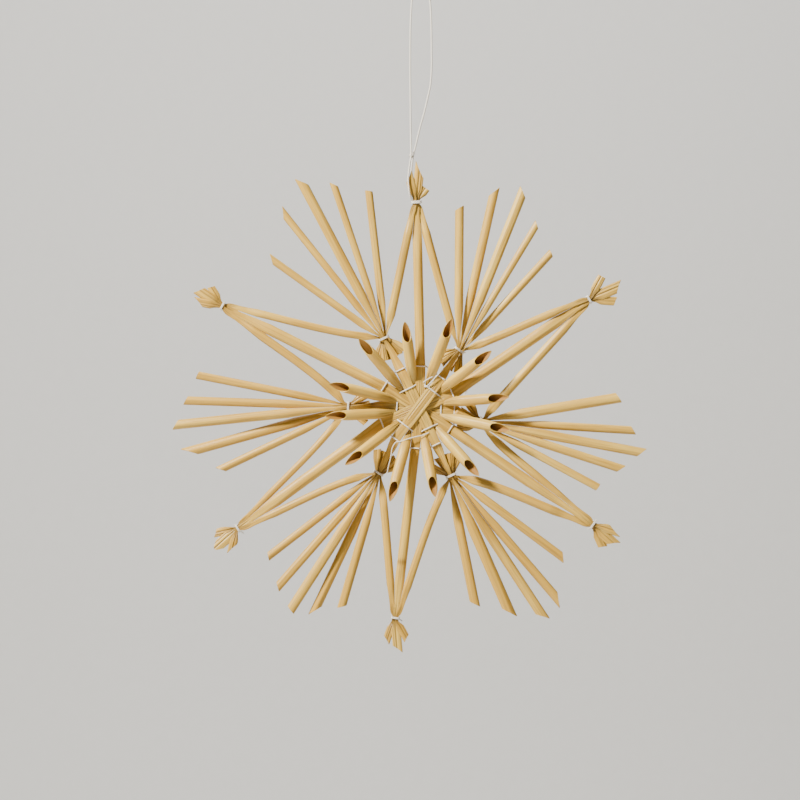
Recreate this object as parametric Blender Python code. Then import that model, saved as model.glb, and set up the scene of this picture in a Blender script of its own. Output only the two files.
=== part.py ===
"""A hanging star tied from natural straw, 220 mm from tie to tie, on a loop of white thread.

Three main straws run from point to point and three axis straws from fan to fan. All six
are flattened and crossed at the hub. At each fan tie an axis straw, four fan straws and
two side straws cross in a sheaf. Each side straw runs on to a point tie, where it meets
a main straw. Six short tube straws lie behind the hub, pass out between the flattened
straws and stand forward, with open ends cut slantwise.

The star hangs facing -Y with +X to the right. The origin is the inner top of the loop.
Plan coordinates are X and Z about the hub, and depth is Y, from front to back.
"""
import math
from typing import NamedTuple

import bmesh
import bpy
import numpy as np
from mathutils import Vector

MM = 0.001

# Straw and thread
FLAT_THICKNESS = 0.3 * MM
GAP = 0.3 * MM
TIE_THREAD = 0.7 * MM
HANGING_THREAD = 0.8 * MM
ROUND_SHARE = 0.82
SECTION_SIDES = 8

# Reach of the points' and the fans' ties from the hub, and of the fan straws from their ties
POINT_RADIUS = 98.8 * MM
FAN_RADIUS = 33.8 * MM
FAN_STRAW_LENGTH = 70.0 * MM

# Hub
HUB_WIDTH = 5.3 * MM
HUB_PINCH_WIDTH = 4.2 * MM
HUB_WIDE_RADIUS = 8.0 * MM
HUB_PINCH_RADIUS = 12.0 * MM
HUB_MARK_RADIUS = 17.0 * MM
SHAPED_RADIUS = 27.0 * MM

# Ties
FAN_SEAT = 0.55 * MM
FAN_PINCH = 0.25
FAN_WAIST = 1.7 * MM
POINT_SEAT = 0.75 * MM
POINT_PINCH = 0.36
POINT_WAIST = 2.4 * MM
STUB_LENGTH = 6.0 * MM
STUB_SHARE = 0.68
STUB_SPREAD = 0.7
STUB_CLEAR = 1.2 * MM
FULL_LENGTH = 21.0 * MM
SIDE_SHAPING_SHARE = 0.2
SIDE_BOW_SHARE = 1.0 / 3.0
SIDE_TURN_BACK = 1.0 / 3.0
LEVEL_START = 0.3

# Tube straws
TUBE_REACH = 43.0 * MM
TUBE_DIAMETER = 5.0 * MM
TUBE_WALL = 0.35 * MM
TUBE_FLAT_WIDTH = 4.6 * MM
TUBE_BASE_WIDTH = 5.6 * MM
TUBE_NECK = 0.9 * MM
TUBE_LEVEL_RADIUS = 11.5 * MM
TUBE_RISE_LENGTH = 3.5 * MM
TUBE_BASE_LENGTH = 1.6 * MM
TUBE_ROUND_LENGTH = 6.5 * MM
TUBE_LEAN = 17.0
TUBE_CUT = 30.0
BORE_DEPTH = 14.0 * MM

# Hanging thread, from the inner top of the loop down to the tie of the upper point
THREAD_DROP = 101.6 * MM
THREAD_ASIDE = -2.1 * MM
WRAP_PITCH = 1.15 * MM
WRAP_TURNS = 1.25
WRAP_STEPS = 15
ROUTE_STEPS = 2

# Fineness of the ties' rings, and the edges that stay sharp, in degrees
TIE_STEPS = 8
SHARP_ANGLE = 50.0

# Finish
STRAW_COLOURS = ((0.66, 0.41, 0.15), (0.60, 0.37, 0.13), (0.70, 0.46, 0.19), (0.56, 0.33, 0.10))
STRAW_ROUGHNESS = 0.42
THREAD_COLOUR = (0.82, 0.79, 0.71)
THREAD_ROUGHNESS = 0.85


class Arm(NamedTuple):
    """A tie's angle and radius about the hub, and the angle its straw leaves the hub at."""
    angle: float
    radius: float
    leaves: float


class Free(NamedTuple):
    """A fan straw's heading and length from its tie, its width, and its left corner's lead."""
    heading: float
    length: float
    width: float
    lead: float


class Side(NamedTuple):
    """A side straw's fan, its point, its width, and how far its start turns off the chord."""
    fan: str
    point: str
    width: float
    turn: float


class Finger(NamedTuple):
    """A straw's end past a point tie: heading, length, width, and its left corner's lead."""
    heading: float
    length: float
    width: float
    lead: float


class Mouth(NamedTuple):
    """A tube end: the two hub straws that it passes between, and where its tip stands."""
    between: tuple
    angle: float
    reach: float


POINTS = {
    "n": Arm(90.7, POINT_RADIUS - 2.4 * MM, 87.5),
    "ne": Arm(32.5, POINT_RADIUS - 4.4 * MM, 23.8),
    "se": Arm(326.1, POINT_RADIUS - 0.9 * MM, 327.0),
    "s": Arm(263.6, POINT_RADIUS - 0.1 * MM, 264.6),
    "sw": Arm(213.6, POINT_RADIUS + 2.9 * MM, 201.3),
    "nw": Arm(152.5, POINT_RADIUS + 4.8 * MM, 148.6),
}
FANS = {
    "ul": Arm(116.6, FAN_RADIUS + 2.8 * MM, 115.8),
    "ur": Arm(55.1, FAN_RADIUS - 0.7 * MM, 53.5),
    "r": Arm(347.1, FAN_RADIUS - 4.5 * MM, 358.0),
    "lr": Arm(295.4, FAN_RADIUS + 1.2 * MM, 295.3),
    "ll": Arm(238.1, FAN_RADIUS + 2.0 * MM, 232.8),
    "l": Arm(179.2, FAN_RADIUS - 0.6 * MM, 176.0),
}

# Straws through the hub, from the front one to the back one, with their widths
THROUGH = {
    ("ur", "ll"): 4.4 * MM,
    ("ul", "lr"): 4.6 * MM,
    ("n", "s"): 4.4 * MM,
    ("sw", "ne"): 5.2 * MM,
    ("nw", "se"): 5.0 * MM,
    ("l", "r"): 4.4 * MM,
}

# The five straws of each fan, the axis straw third
FAN_STRAWS = {
    "ul": (
        Free(144.4, FAN_STRAW_LENGTH - 7.0 * MM, 3.5 * MM, -4.1 * MM),
        Free(128.5, FAN_STRAW_LENGTH + 4.5 * MM, 3.5 * MM, -5.2 * MM),
        Free(117.8, FAN_STRAW_LENGTH + 11.5 * MM, 4.8 * MM, 5.3 * MM),
        Free(108.4, FAN_STRAW_LENGTH + 4.5 * MM, 3.4 * MM, 3.0 * MM),
        Free(96.5, FAN_STRAW_LENGTH - 2.0 * MM, 3.6 * MM, 1.0 * MM),
    ),
    "ur": (
        Free(89.6, FAN_STRAW_LENGTH - 5.0 * MM, 4.1 * MM, -2.4 * MM),
        Free(77.4, FAN_STRAW_LENGTH + 5.0 * MM, 4.2 * MM, -4.9 * MM),
        Free(68.3, FAN_STRAW_LENGTH + 8.5 * MM, 4.4 * MM, 4.4 * MM),
        Free(58.9, FAN_STRAW_LENGTH - 2.0 * MM, 3.2 * MM, 2.7 * MM),
        Free(47.5, FAN_STRAW_LENGTH - 8.5 * MM, 3.5 * MM, 1.4 * MM),
    ),
    "r": (
        Free(9.4, FAN_STRAW_LENGTH - 5.5 * MM, 4.9 * MM, -2.2 * MM),
        Free(356.6, FAN_STRAW_LENGTH + 1.0 * MM, 3.9 * MM, -2.6 * MM),
        Free(349.4, FAN_STRAW_LENGTH + 6.0 * MM, 3.7 * MM, 3.7 * MM),
        Free(342.1, FAN_STRAW_LENGTH - 1.5 * MM, 4.0 * MM, 3.1 * MM),
        Free(331.8, FAN_STRAW_LENGTH - 8.0 * MM, 3.7 * MM, 0.4 * MM),
    ),
    "lr": (
        Free(323.3, FAN_STRAW_LENGTH - 6.5 * MM, 4.0 * MM, -3.4 * MM),
        Free(310.6, FAN_STRAW_LENGTH + 6.0 * MM, 4.2 * MM, -6.5 * MM),
        Free(303.2, FAN_STRAW_LENGTH + 7.5 * MM, 3.3 * MM, 5.2 * MM),
        Free(293.6, FAN_STRAW_LENGTH - 1.5 * MM, 5.1 * MM, 6.0 * MM),
        Free(281.4, FAN_STRAW_LENGTH - 10.0 * MM, 4.4 * MM, 3.3 * MM),
    ),
    "ll": (
        Free(253.9, FAN_STRAW_LENGTH - 6.5 * MM, 4.0 * MM, -2.2 * MM),
        Free(244.8, FAN_STRAW_LENGTH, 4.2 * MM, -6.0 * MM),
        Free(237.3, FAN_STRAW_LENGTH + 5.0 * MM, 4.0 * MM, 1.6 * MM),
        Free(228.8, FAN_STRAW_LENGTH, 4.0 * MM, 2.4 * MM),
        Free(217.8, FAN_STRAW_LENGTH - 6.5 * MM, 3.7 * MM, 1.8 * MM),
    ),
    "l": (
        Free(205.5, FAN_STRAW_LENGTH - 5.0 * MM, 3.7 * MM, -3.6 * MM),
        Free(195.5, FAN_STRAW_LENGTH + 6.0 * MM, 4.7 * MM, -7.5 * MM),
        Free(185.9, FAN_STRAW_LENGTH + 10.0 * MM, 5.1 * MM, 3.3 * MM),
        Free(178.1, FAN_STRAW_LENGTH + 5.0 * MM, 4.0 * MM, 2.0 * MM),
        Free(168.8, FAN_STRAW_LENGTH + 1.0 * MM, 3.7 * MM, 0.9 * MM),
    ),
}

SIDES = (
    Side("ul", "nw", 3.5 * MM, 5.0),
    Side("ul", "n", 3.9 * MM, 0.0),
    Side("ur", "n", 3.9 * MM, 0.0),
    Side("ur", "ne", 3.9 * MM, 0.0),
    Side("r", "ne", 4.1 * MM, 0.0),
    Side("r", "se", 3.9 * MM, -3.0),
    Side("lr", "se", 4.2 * MM, 6.0),
    Side("lr", "s", 3.6 * MM, -4.0),
    Side("ll", "s", 3.7 * MM, 0.0),
    Side("ll", "sw", 3.5 * MM, -6.0),
    Side("l", "sw", 3.2 * MM, 4.0),
    Side("l", "nw", 4.0 * MM, -5.0),
)

SIDE_SHARES = (0.0, 0.17, 0.38, 0.62, 0.83, 1.0)

# The three ends past each point tie, anticlockwise
FINGERS = {
    "n": (
        Finger(54, 7.5 * MM, 3.2 * MM, 0.0),
        Finger(84, 16.0 * MM, 4.4 * MM, 3.5 * MM),
        Finger(104, 12.0 * MM, 4.0 * MM, -3.0 * MM),
    ),
    "ne": (
        Finger(356, 11.0 * MM, 4.0 * MM, 1.3 * MM),
        Finger(23, 14.0 * MM, 4.8 * MM, 4.2 * MM),
        Finger(61, 11.0 * MM, 4.4 * MM, 0.0),
    ),
    "se": (
        Finger(295, 10.0 * MM, 3.8 * MM, 1.2 * MM),
        Finger(318, 12.0 * MM, 4.6 * MM, 4.3 * MM),
        Finger(342, 9.5 * MM, 4.4 * MM, -6.0 * MM),
    ),
    "s": (
        Finger(251, 10.0 * MM, 4.0 * MM, 3.1 * MM),
        Finger(275, 13.5 * MM, 4.2 * MM, 3.5 * MM),
        Finger(299, 9.5 * MM, 3.8 * MM, -2.2 * MM),
    ),
    "sw": (
        Finger(194, 9.5 * MM, 4.2 * MM, 2.0 * MM),
        Finger(222, 13.5 * MM, 5.2 * MM, 0.0),
        Finger(255, 8.5 * MM, 4.0 * MM, -5.0 * MM),
    ),
    "nw": (
        Finger(122, 9.0 * MM, 3.4 * MM, 1.0 * MM),
        Finger(146, 12.0 * MM, 4.8 * MM, 3.0 * MM),
        Finger(169, 10.0 * MM, 4.2 * MM, -4.6 * MM),
    ),
}

TUBES = (("nnw", "sse"), ("nne", "ssw"), ("ene", "wsw"), ("e", "w"), ("ese", "wnw"), ("se", "nw"))
MOUTHS = {
    "nnw": Mouth(("n", "ul"), 99.5, TUBE_REACH - 2.2 * MM),
    "nne": Mouth(("ur", "n"), 69.8, TUBE_REACH + 1.6 * MM),
    "ene": Mouth(("ne", "ur"), 38.4, TUBE_REACH - 0.1 * MM),
    "e": Mouth(("r", "ne"), 7.0, TUBE_REACH - 1.0 * MM),
    "ese": Mouth(("se", "r"), 346.4, TUBE_REACH + 0.6 * MM),
    "se": Mouth(("lr", "se"), 311.4, TUBE_REACH - 0.9 * MM),
    "sse": Mouth(("s", "lr"), 280.3, TUBE_REACH - 1.0 * MM),
    "ssw": Mouth(("ll", "s"), 252.6, TUBE_REACH + 2.4 * MM),
    "wsw": Mouth(("sw", "ll"), 217.5, TUBE_REACH + 0.3 * MM),
    "w": Mouth(("l", "sw"), 184.9, TUBE_REACH + 0.7 * MM),
    "wnw": Mouth(("nw", "l"), 165.0, TUBE_REACH + 0.4 * MM),
    "nw": Mouth(("ul", "nw"), 130.9, TUBE_REACH - 0.1 * MM),
}

# The thread's route from the left of the upper tie, round the loop and back behind the tie
THREAD_ROUTE = [
    Vector(point) * MM
    for point in (
        (-5.4, -2.2, -97.4), (-6.0, -2.1, -91.7), (-5.7, -1.6, -87.5), (-5.2, -1.1, -83.6),
        (-4.6, -0.7, -79.9), (-4.6, -0.3, -76.3), (-4.7, 0.0, -71.1), (-4.8, 0.0, -64.0),
        (-4.9, 0.0, -53.8), (-5.0, 0.0, -42.6), (-5.0, 0.0, -31.4), (-4.9, 0.0, -21.1),
        (-4.6, 0.0, -13.0), (-4.1, 0.0, -6.6), (-2.7, 0.0, -1.3), (0.0, 0.0, 0.4),
        (2.7, 0.0, -1.3), (4.1, 0.0, -6.6), (4.7, 0.0, -13.6), (4.9, 0.0, -22.0),
        (5.0, 0.0, -31.4), (5.0, 0.0, -38.5), (4.5, 0.0, -46.3), (3.2, 0.0, -52.6),
        (1.6, 0.0, -59.4), (0.0, 0.0, -65.1), (-1.3, 0.1, -70.2), (-2.5, 0.3, -75.3),
        (-3.6, 0.7, -79.8), (-4.2, 1.1, -84.0), (-4.5, 1.9, -89.0), (-4.2, 2.5, -94.0),
        (-3.0, 2.6, -98.6),
    )
]

LEVEL_PITCH = FLAT_THICKNESS + GAP
FAN_LEVELS = (0, 2, -2, -3, 3, -1, 1)
POINT_LEVELS = (-1, 0, 1)
HUB_Z = -THREAD_DROP - POINTS["n"].radius * math.sin(math.radians(POINTS["n"].angle))
HUB_X = THREAD_ASIDE - POINTS["n"].radius * math.cos(math.radians(POINTS["n"].angle))


class Station(NamedTuple):
    """A cross section of a straw: plan place, depth, half width, half depth, and its cut."""
    plan: np.ndarray
    depth: float
    half_width: float
    half_depth: float
    lead: float = 0.0
    slant: float = 0.0


def heading(angle):
    """The unit plan vector at an angle in degrees."""
    return np.array((math.cos(math.radians(angle)), math.sin(math.radians(angle))))


def angle_of(vector):
    """The angle of a plan vector, in degrees."""
    return math.degrees(math.atan2(vector[1], vector[0])) % 360.0


def turn_between(first, second):
    """The signed turn from one angle to another, within half a turn."""
    return (second - first + 180.0) % 360.0 - 180.0


def smooth(share):
    """A smooth step from 0 to 1."""
    share = min(max(share, 0.0), 1.0)
    return share * share * (3.0 - 2.0 * share)


def blend(start, end, share):
    """The value that lies this share of the way from start to end."""
    return start + (end - start) * share


def tie_place(arm):
    """The plan place of an arm's tie."""
    return heading(arm.angle) * arm.radius


class Seat(NamedTuple):
    """Where one straw passes through a tie, with its headings before and past the tie."""
    place: int
    near: np.ndarray
    far: np.ndarray
    depth: float
    half_width: float
    heading: float
    past: float


class Tie:
    """A bundle of straws held by a ring of thread, spreading from it to one side."""

    def __init__(self, arm, spread_angle, widths, headings, seat, pinch, waist, levels):
        self.centre = tie_place(arm)
        self.spread = heading(spread_angle)
        self.across = np.array((-self.spread[1], self.spread[0]))
        order = sorted(headings, key=lambda name: turn_between(spread_angle, headings[name]))
        middle = (len(order) - 1) / 2.0
        self.seats = {}
        self.clear = 0.0
        for place, name in enumerate(order):
            side = self.across * (place - middle) * seat
            half_width = widths[name] * pinch / 2.0
            self.seats[name] = Seat(
                place,
                self.centre + side + self.spread * waist / 2.0,
                self.centre + side - self.spread * waist / 2.0,
                levels[place] * LEVEL_PITCH, half_width, headings[name],
                spread_angle + 180.0 - STUB_SPREAD * turn_between(spread_angle, headings[name]),
            )
            if place:
                before = self.seats[order[place - 1]]
                turn = math.radians(turn_between(before.heading, headings[name]))
                lean = math.radians(turn_between(spread_angle, headings[name]))
                needed = half_width + before.half_width + GAP - seat * math.cos(lean)
                self.clear = max(self.clear, needed / math.sin(turn))
        corners = [
            (abs((place - middle) * seat) + self.seats[name].half_width,
             abs(levels[place]) * LEVEL_PITCH + FLAT_THICKNESS / 2.0)
            for place, name in enumerate(order)
        ]
        widest = max(corner[0] for corner in corners)
        deepest = max(corner[1] for corner in corners)
        grow = max(math.hypot(corner[0] / widest, corner[1] / deepest) for corner in corners)
        self.half_width = widest * grow + GAP
        self.half_depth = deepest * grow + GAP


def side_name(side):
    return f"side_straw_{side.fan}_{side.point}"


def through_name(pair):
    kind = "main" if pair[0] in POINTS else "axis"
    return f"{kind}_straw_{pair[0]}_{pair[1]}"


def axis_place(fan):
    """The place of the axis straw among its fan's straws."""
    return len(FAN_STRAWS[fan]) // 2


def fan_straw_name(fan, place):
    """The name of a fan's straw, where the straw through the hub is its axis."""
    if place == axis_place(fan):
        return through_name(next(pair for pair in THROUGH if fan in pair))
    return f"fan_straw_{fan}_{place + 1 if place < axis_place(fan) else place}"


def plan_ties():
    """Work out every tie from the straws that meet there."""
    ties = {}
    for fan, arm in FANS.items():
        widths = {}
        headings = {}
        for place, straw in enumerate(FAN_STRAWS[fan]):
            widths[fan_straw_name(fan, place)] = straw.width
            headings[fan_straw_name(fan, place)] = straw.heading
        for side in SIDES:
            if side.fan == fan:
                chord = tie_place(POINTS[side.point]) - tie_place(arm)
                widths[side_name(side)] = side.width
                headings[side_name(side)] = angle_of(chord) + side.turn
        ties[fan] = Tie(arm, arm.angle, widths, headings, FAN_SEAT, FAN_PINCH, FAN_WAIST, FAN_LEVELS)
    for point, arm in POINTS.items():
        pair = next(pair for pair in THROUGH if point in pair)
        mark = heading(arm.leaves) * HUB_MARK_RADIUS
        widths = {through_name(pair): THROUGH[pair]}
        headings = {through_name(pair): angle_of(mark - tie_place(arm))}
        for side in SIDES:
            if side.point == point:
                chord = tie_place(FANS[side.fan]) - tie_place(arm)
                widths[side_name(side)] = side.width
                headings[side_name(side)] = angle_of(chord) - side.turn * SIDE_TURN_BACK
        ties[point] = Tie(
            arm, arm.angle + 180.0, widths, headings, POINT_SEAT, POINT_PINCH, POINT_WAIST, POINT_LEVELS,
        )
    return ties


def distance_to_path(place, path):
    """The shortest plan distance from a place to a path of straight legs."""
    starts = path[:-1]
    legs = path[1:] - starts
    shares = np.sum((place - starts) * legs, axis=1) / np.sum(legs * legs, axis=1)
    nearest = starts + legs * np.clip(shares, 0.0, 1.0)[:, None]
    return float(np.min(np.linalg.norm(nearest - place, axis=1)))


class Straws:
    """The flat star's ties, with the full width and the plan path of every straw in it."""

    def __init__(self, ties):
        self.ties = ties
        self.widths = {}
        self.paths = {}

    def room(self, name, place):
        """The half width that leaves the neighbours theirs and the gap between them."""
        width = self.widths[name]
        room = width / 2.0
        for other, path in self.paths.items():
            if other != name:
                share = width / (width + self.widths[other])
                room = min(room, (distance_to_path(place, path) - GAP) * share)
        return room


def flat_end(seat, angle, length, width, lead=0.0):
    """The flat end of a straw behind its tie, from its tip to the tie."""
    tip = seat.far + heading(angle) * length
    flat = FLAT_THICKNESS / 2.0
    return [
        Station(tip, seat.depth, width / 2.0, flat, lead),
        Station(seat.far, seat.depth, seat.half_width, flat),
        Station(seat.near, seat.depth, seat.half_width, flat),
    ]


def stub_stations(seat, width):
    """A straw's stub past its fan tie, on the side of the tie that the straw is on."""
    return flat_end(seat, seat.past, STUB_LENGTH, width * STUB_SHARE)


def finger_stations(point, seat):
    """A straw's splayed end past a point tie, on the side of the tie that the straw is on."""
    finger = FINGERS[point][-1 - seat.place]
    return flat_end(seat, finger.heading, finger.length, finger.width, finger.lead)


def free_stations(straws, tie, name, straw):
    """A fan straw's sections from its tie to its slanting cut."""
    seat = tie.seats[name]
    direction = heading(straw.heading)
    stations = []
    for distance in (tie.clear, tie.clear + FULL_LENGTH, straw.length):
        place = seat.near + direction * distance
        share = smooth((distance - tie.clear) / FULL_LENGTH)
        half_width = max(straws.room(name, place), seat.half_width)
        half_depth = blend(FLAT_THICKNESS, straw.width * ROUND_SHARE, share) / 2.0
        lead = straw.lead if distance == straw.length else 0.0
        stations.append(Station(place, seat.depth, half_width, half_depth, lead))
    return stations


def side_path(ties, side):
    """A side straw's bowed plan path between its two ties, with each place's share of it."""
    start = ties[side.fan].seats[side_name(side)]
    end = ties[side.point].seats[side_name(side)]
    start_clear = start.near + heading(start.heading) * ties[side.fan].clear
    end_clear = end.near + heading(end.heading) * ties[side.point].clear
    reach = np.linalg.norm(end_clear - start_clear) * SIDE_BOW_SHARE
    first = start_clear + heading(start.heading) * reach
    second = end_clear + heading(end.heading) * reach
    places = []
    for share in SIDE_SHARES:
        rest = 1.0 - share
        places.append((share, start_clear * rest ** 3 + first * 3 * share * rest ** 2
                       + second * 3 * share ** 2 * rest + end_clear * share ** 3))
    return places


def hub_path(pair):
    """A through straw's plan path across the hub, from one mark to the other."""
    arms = [{**POINTS, **FANS}[name] for name in pair]
    radii = (HUB_MARK_RADIUS, HUB_PINCH_RADIUS, HUB_WIDE_RADIUS)
    places = [(radius, heading(arms[0].leaves) * radius) for radius in radii]
    places += [(radius, heading(arms[1].leaves) * radius) for radius in reversed(radii)]
    return places


def hub_half_width(radius):
    return (HUB_WIDTH if radius <= HUB_WIDE_RADIUS else HUB_PINCH_WIDTH) / 2.0


def hub_level(pair):
    """The depth of a straw that crosses the hub in front of the tubes."""
    return (list(THROUGH).index(pair) - len(THROUGH) + 0.5) * LEVEL_PITCH


def point_leg(straws, pair, point, level):
    """A main straw's sections from its finger, through its tie, towards the hub."""
    tie = straws.ties[point]
    name = through_name(pair)
    seat = tie.seats[name]
    width = THROUGH[pair]
    stations = finger_stations(point, seat)
    clear = seat.near + heading(seat.heading) * tie.clear
    mark = heading(POINTS[point].leaves) * HUB_MARK_RADIUS
    inward = (mark - clear) / np.linalg.norm(mark - clear)
    length = np.linalg.norm(mark - clear)
    shaped = length - (SHAPED_RADIUS - HUB_MARK_RADIUS)
    for distance in (0.0, FULL_LENGTH, shaped):
        place = clear + inward * distance
        share = smooth(distance / FULL_LENGTH)
        half_width = max(straws.room(name, place), seat.half_width)
        half_depth = blend(FLAT_THICKNESS, width * ROUND_SHARE, share) / 2.0
        depth = seat.depth if distance < shaped else blend(seat.depth, level, LEVEL_START)
        stations.append(Station(place, depth, half_width, half_depth))
    return stations


def fan_leg(straws, pair, fan, level):
    """An axis straw's sections from its outer cut, through its tie, towards the hub."""
    tie = straws.ties[fan]
    name = through_name(pair)
    seat = tie.seats[name]
    flat = FLAT_THICKNESS / 2.0
    outer = free_stations(straws, tie, name, FAN_STRAWS[fan][axis_place(fan)])
    mark = heading(FANS[fan].leaves) * HUB_MARK_RADIUS
    inward = (mark - seat.far) / np.linalg.norm(mark - seat.far)
    past_stubs = seat.far + inward * (STUB_LENGTH + STUB_CLEAR)
    stations = list(reversed(outer))
    stations.append(Station(seat.near, seat.depth, seat.half_width, flat))
    stations.append(Station(seat.far, seat.depth, seat.half_width, flat))
    stations.append(Station(past_stubs, seat.depth, THROUGH[pair] * STUB_SHARE / 2.0, flat))
    return stations


def through_stations(straws, pair):
    """A straw's sections from end to end through the hub."""
    level = hub_level(pair)
    leg = point_leg if pair[0] in POINTS else fan_leg
    stations = leg(straws, pair, pair[0], level)
    for radius, place in hub_path(pair):
        stations.append(Station(place, level, hub_half_width(radius), FLAT_THICKNESS / 2.0))
    return stations + list(reversed(leg(straws, pair, pair[1], level)))


def side_stations(straws, side):
    """A side straw's sections from its stub, through both ties, to its finger."""
    name = side_name(side)
    fan = straws.ties[side.fan]
    point = straws.ties[side.point]
    start = fan.seats[name]
    end = point.seats[name]
    stations = stub_stations(start, side.width)
    for share, place in side_path(straws.ties, side):
        shaped = smooth(min(share, 1.0 - share) / SIDE_SHAPING_SHARE)
        least = blend(start.half_width, end.half_width, share)
        half_width = max(straws.room(name, place), least)
        half_depth = blend(FLAT_THICKNESS, side.width * ROUND_SHARE, shaped) / 2.0
        stations.append(Station(place, blend(start.depth, end.depth, share), half_width, half_depth))
    return stations + list(reversed(finger_stations(side.point, end)))


def plan_straws(ties):
    """Lay every flat straw's plan path, then give each its sections."""
    straws = Straws(ties)
    for pair, width in THROUGH.items():
        name = through_name(pair)
        straws.widths[name] = width
        path = [place for radius, place in hub_path(pair)]
        for end, arm_name in ((0, pair[0]), (1, pair[1])):
            seat = ties[arm_name].seats[name]
            outer = [seat.far, seat.near, seat.near + heading(seat.heading) * ties[arm_name].clear]
            if arm_name in FANS:
                axis = FAN_STRAWS[arm_name][axis_place(arm_name)]
                outer = [seat.near + heading(axis.heading) * axis.length, seat.near, seat.far]
            path = outer + path if end == 0 else path + outer[::-1]
        straws.paths[name] = np.array(path)
    for fan in FANS:
        for place, straw in enumerate(FAN_STRAWS[fan]):
            name = fan_straw_name(fan, place)
            if place != axis_place(fan):
                seat = ties[fan].seats[name]
                straws.widths[name] = straw.width
                straws.paths[name] = np.array((seat.near, seat.near + heading(straw.heading) * straw.length))
    for side in SIDES:
        start = ties[side.fan].seats[side_name(side)]
        end = ties[side.point].seats[side_name(side)]
        straws.widths[side_name(side)] = side.width
        middle = [place for share, place in side_path(ties, side)]
        straws.paths[side_name(side)] = np.array([start.far, start.near, *middle, end.near, end.far])

    sections = {through_name(pair): through_stations(straws, pair) for pair in THROUGH}
    for fan in FANS:
        for place, straw in enumerate(FAN_STRAWS[fan]):
            if place != axis_place(fan):
                name = fan_straw_name(fan, place)
                seat = ties[fan].seats[name]
                outer = free_stations(straws, ties[fan], name, straw)
                sections[name] = stub_stations(seat, straw.width) + outer
    for side in SIDES:
        sections[side_name(side)] = side_stations(straws, side)
    return sections


def tube_arm(key, level):
    """One end of a tube straw, from behind the hub to its open mouth."""
    mouth = MOUTHS[key]
    arms = {**POINTS, **FANS}
    leaves = [arms[name].leaves for name in mouth.between]
    opening = turn_between(*leaves)
    middle = leaves[0] + opening / 2.0
    slope = math.sin(math.radians(opening / 2.0))
    lean = math.radians(TUBE_LEAN)
    flat = FLAT_THICKNESS / 2.0
    radius = TUBE_DIAMETER / 2.0
    beside = HUB_PINCH_WIDTH / 2.0 + GAP
    leaves_level = max(TUBE_LEVEL_RADIUS, (TUBE_NECK / 2.0 + beside) / slope)
    in_front = leaves_level + TUBE_RISE_LENGTH
    hub_front = len(THROUGH) * LEVEL_PITCH + GAP
    way = heading(middle)
    front_place = way * in_front
    tip_place = heading(mouth.angle) * mouth.reach
    outward = (tip_place - front_place) / np.linalg.norm(tip_place - front_place)

    def gap_station(distance, depth, half_depth):
        return Station(way * distance, depth, distance * slope - beside, half_depth)

    front_depth = -in_front * math.tan(lean)
    rise = [
        Station(way * HUB_WIDE_RADIUS, level, TUBE_FLAT_WIDTH / 2.0, flat),
        gap_station(leaves_level, level, flat),
        gap_station(in_front, front_depth, min(radius, -front_depth - hub_front)),
    ]
    back_lip = radius / math.tan(math.radians(TUBE_CUT))
    run = np.linalg.norm(tip_place - front_place)
    cut_run = run - radius * math.sin(lean) - back_lip * math.cos(lean)
    slant = back_lip / radius

    def open_station(distance, size, cut):
        depth = front_depth - distance * math.tan(lean)
        return Station(front_place + outward * distance, depth, size, size, 0.0, cut)

    base = open_station(TUBE_BASE_LENGTH, TUBE_BASE_WIDTH / 2.0, 0.0)
    base = base._replace(half_depth=min(radius, -base.depth - hub_front))
    bore = radius - TUBE_WALL
    blind = cut_run - BORE_DEPTH * math.cos(lean)
    tube = [base, open_station(TUBE_ROUND_LENGTH, radius, 0.0), open_station(cut_run, radius, slant)]
    inner = [open_station(cut_run, bore, slant), open_station(blind, bore, 0.0)]
    return rise + tube, inner


def station_ring(station, tangent):
    """The corners of one cross section."""
    across = Vector((-tangent.z, 0.0, tangent.x)).normalized()
    back = tangent.cross(across).normalized()
    if back.y < 0.0:
        back = -back
    centre = Vector((HUB_X + station.plan[0], station.depth, HUB_Z + station.plan[1]))
    ring = []
    for step in range(SECTION_SIDES):
        angle = 2.0 * math.pi * (step + 0.5) / SECTION_SIDES
        reach = 1.0 / math.cos(math.pi / SECTION_SIDES)
        side = math.cos(angle) * reach
        rear = math.sin(angle) * reach
        along = station.lead * side / 2.0 + station.slant * station.half_depth * rear
        ring.append(
            centre + across * station.half_width * side + back * station.half_depth * rear + tangent * along
        )
    return ring


def station_tangents(stations):
    """The direction of travel at each section, from its two neighbours."""
    centres = [Vector((s.plan[0], s.depth, s.plan[1])) for s in stations]
    legs = [(after - before).normalized() for before, after in zip(centres, centres[1:])]
    return [legs[0]] + [(a + b).normalized() for a, b in zip(legs, legs[1:])] + [legs[-1]]


def add_material(node, colour, roughness):
    material = bpy.data.materials.new(node.name)
    material.use_nodes = True
    shader = material.node_tree.nodes["Principled BSDF"]
    shader.inputs["Base Color"].default_value = (*colour, 1.0)
    shader.inputs["Roughness"].default_value = roughness
    shader.inputs["Metallic"].default_value = 0.0
    material.diffuse_color = (*colour, 1.0)
    node.data.materials.append(material)


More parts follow.
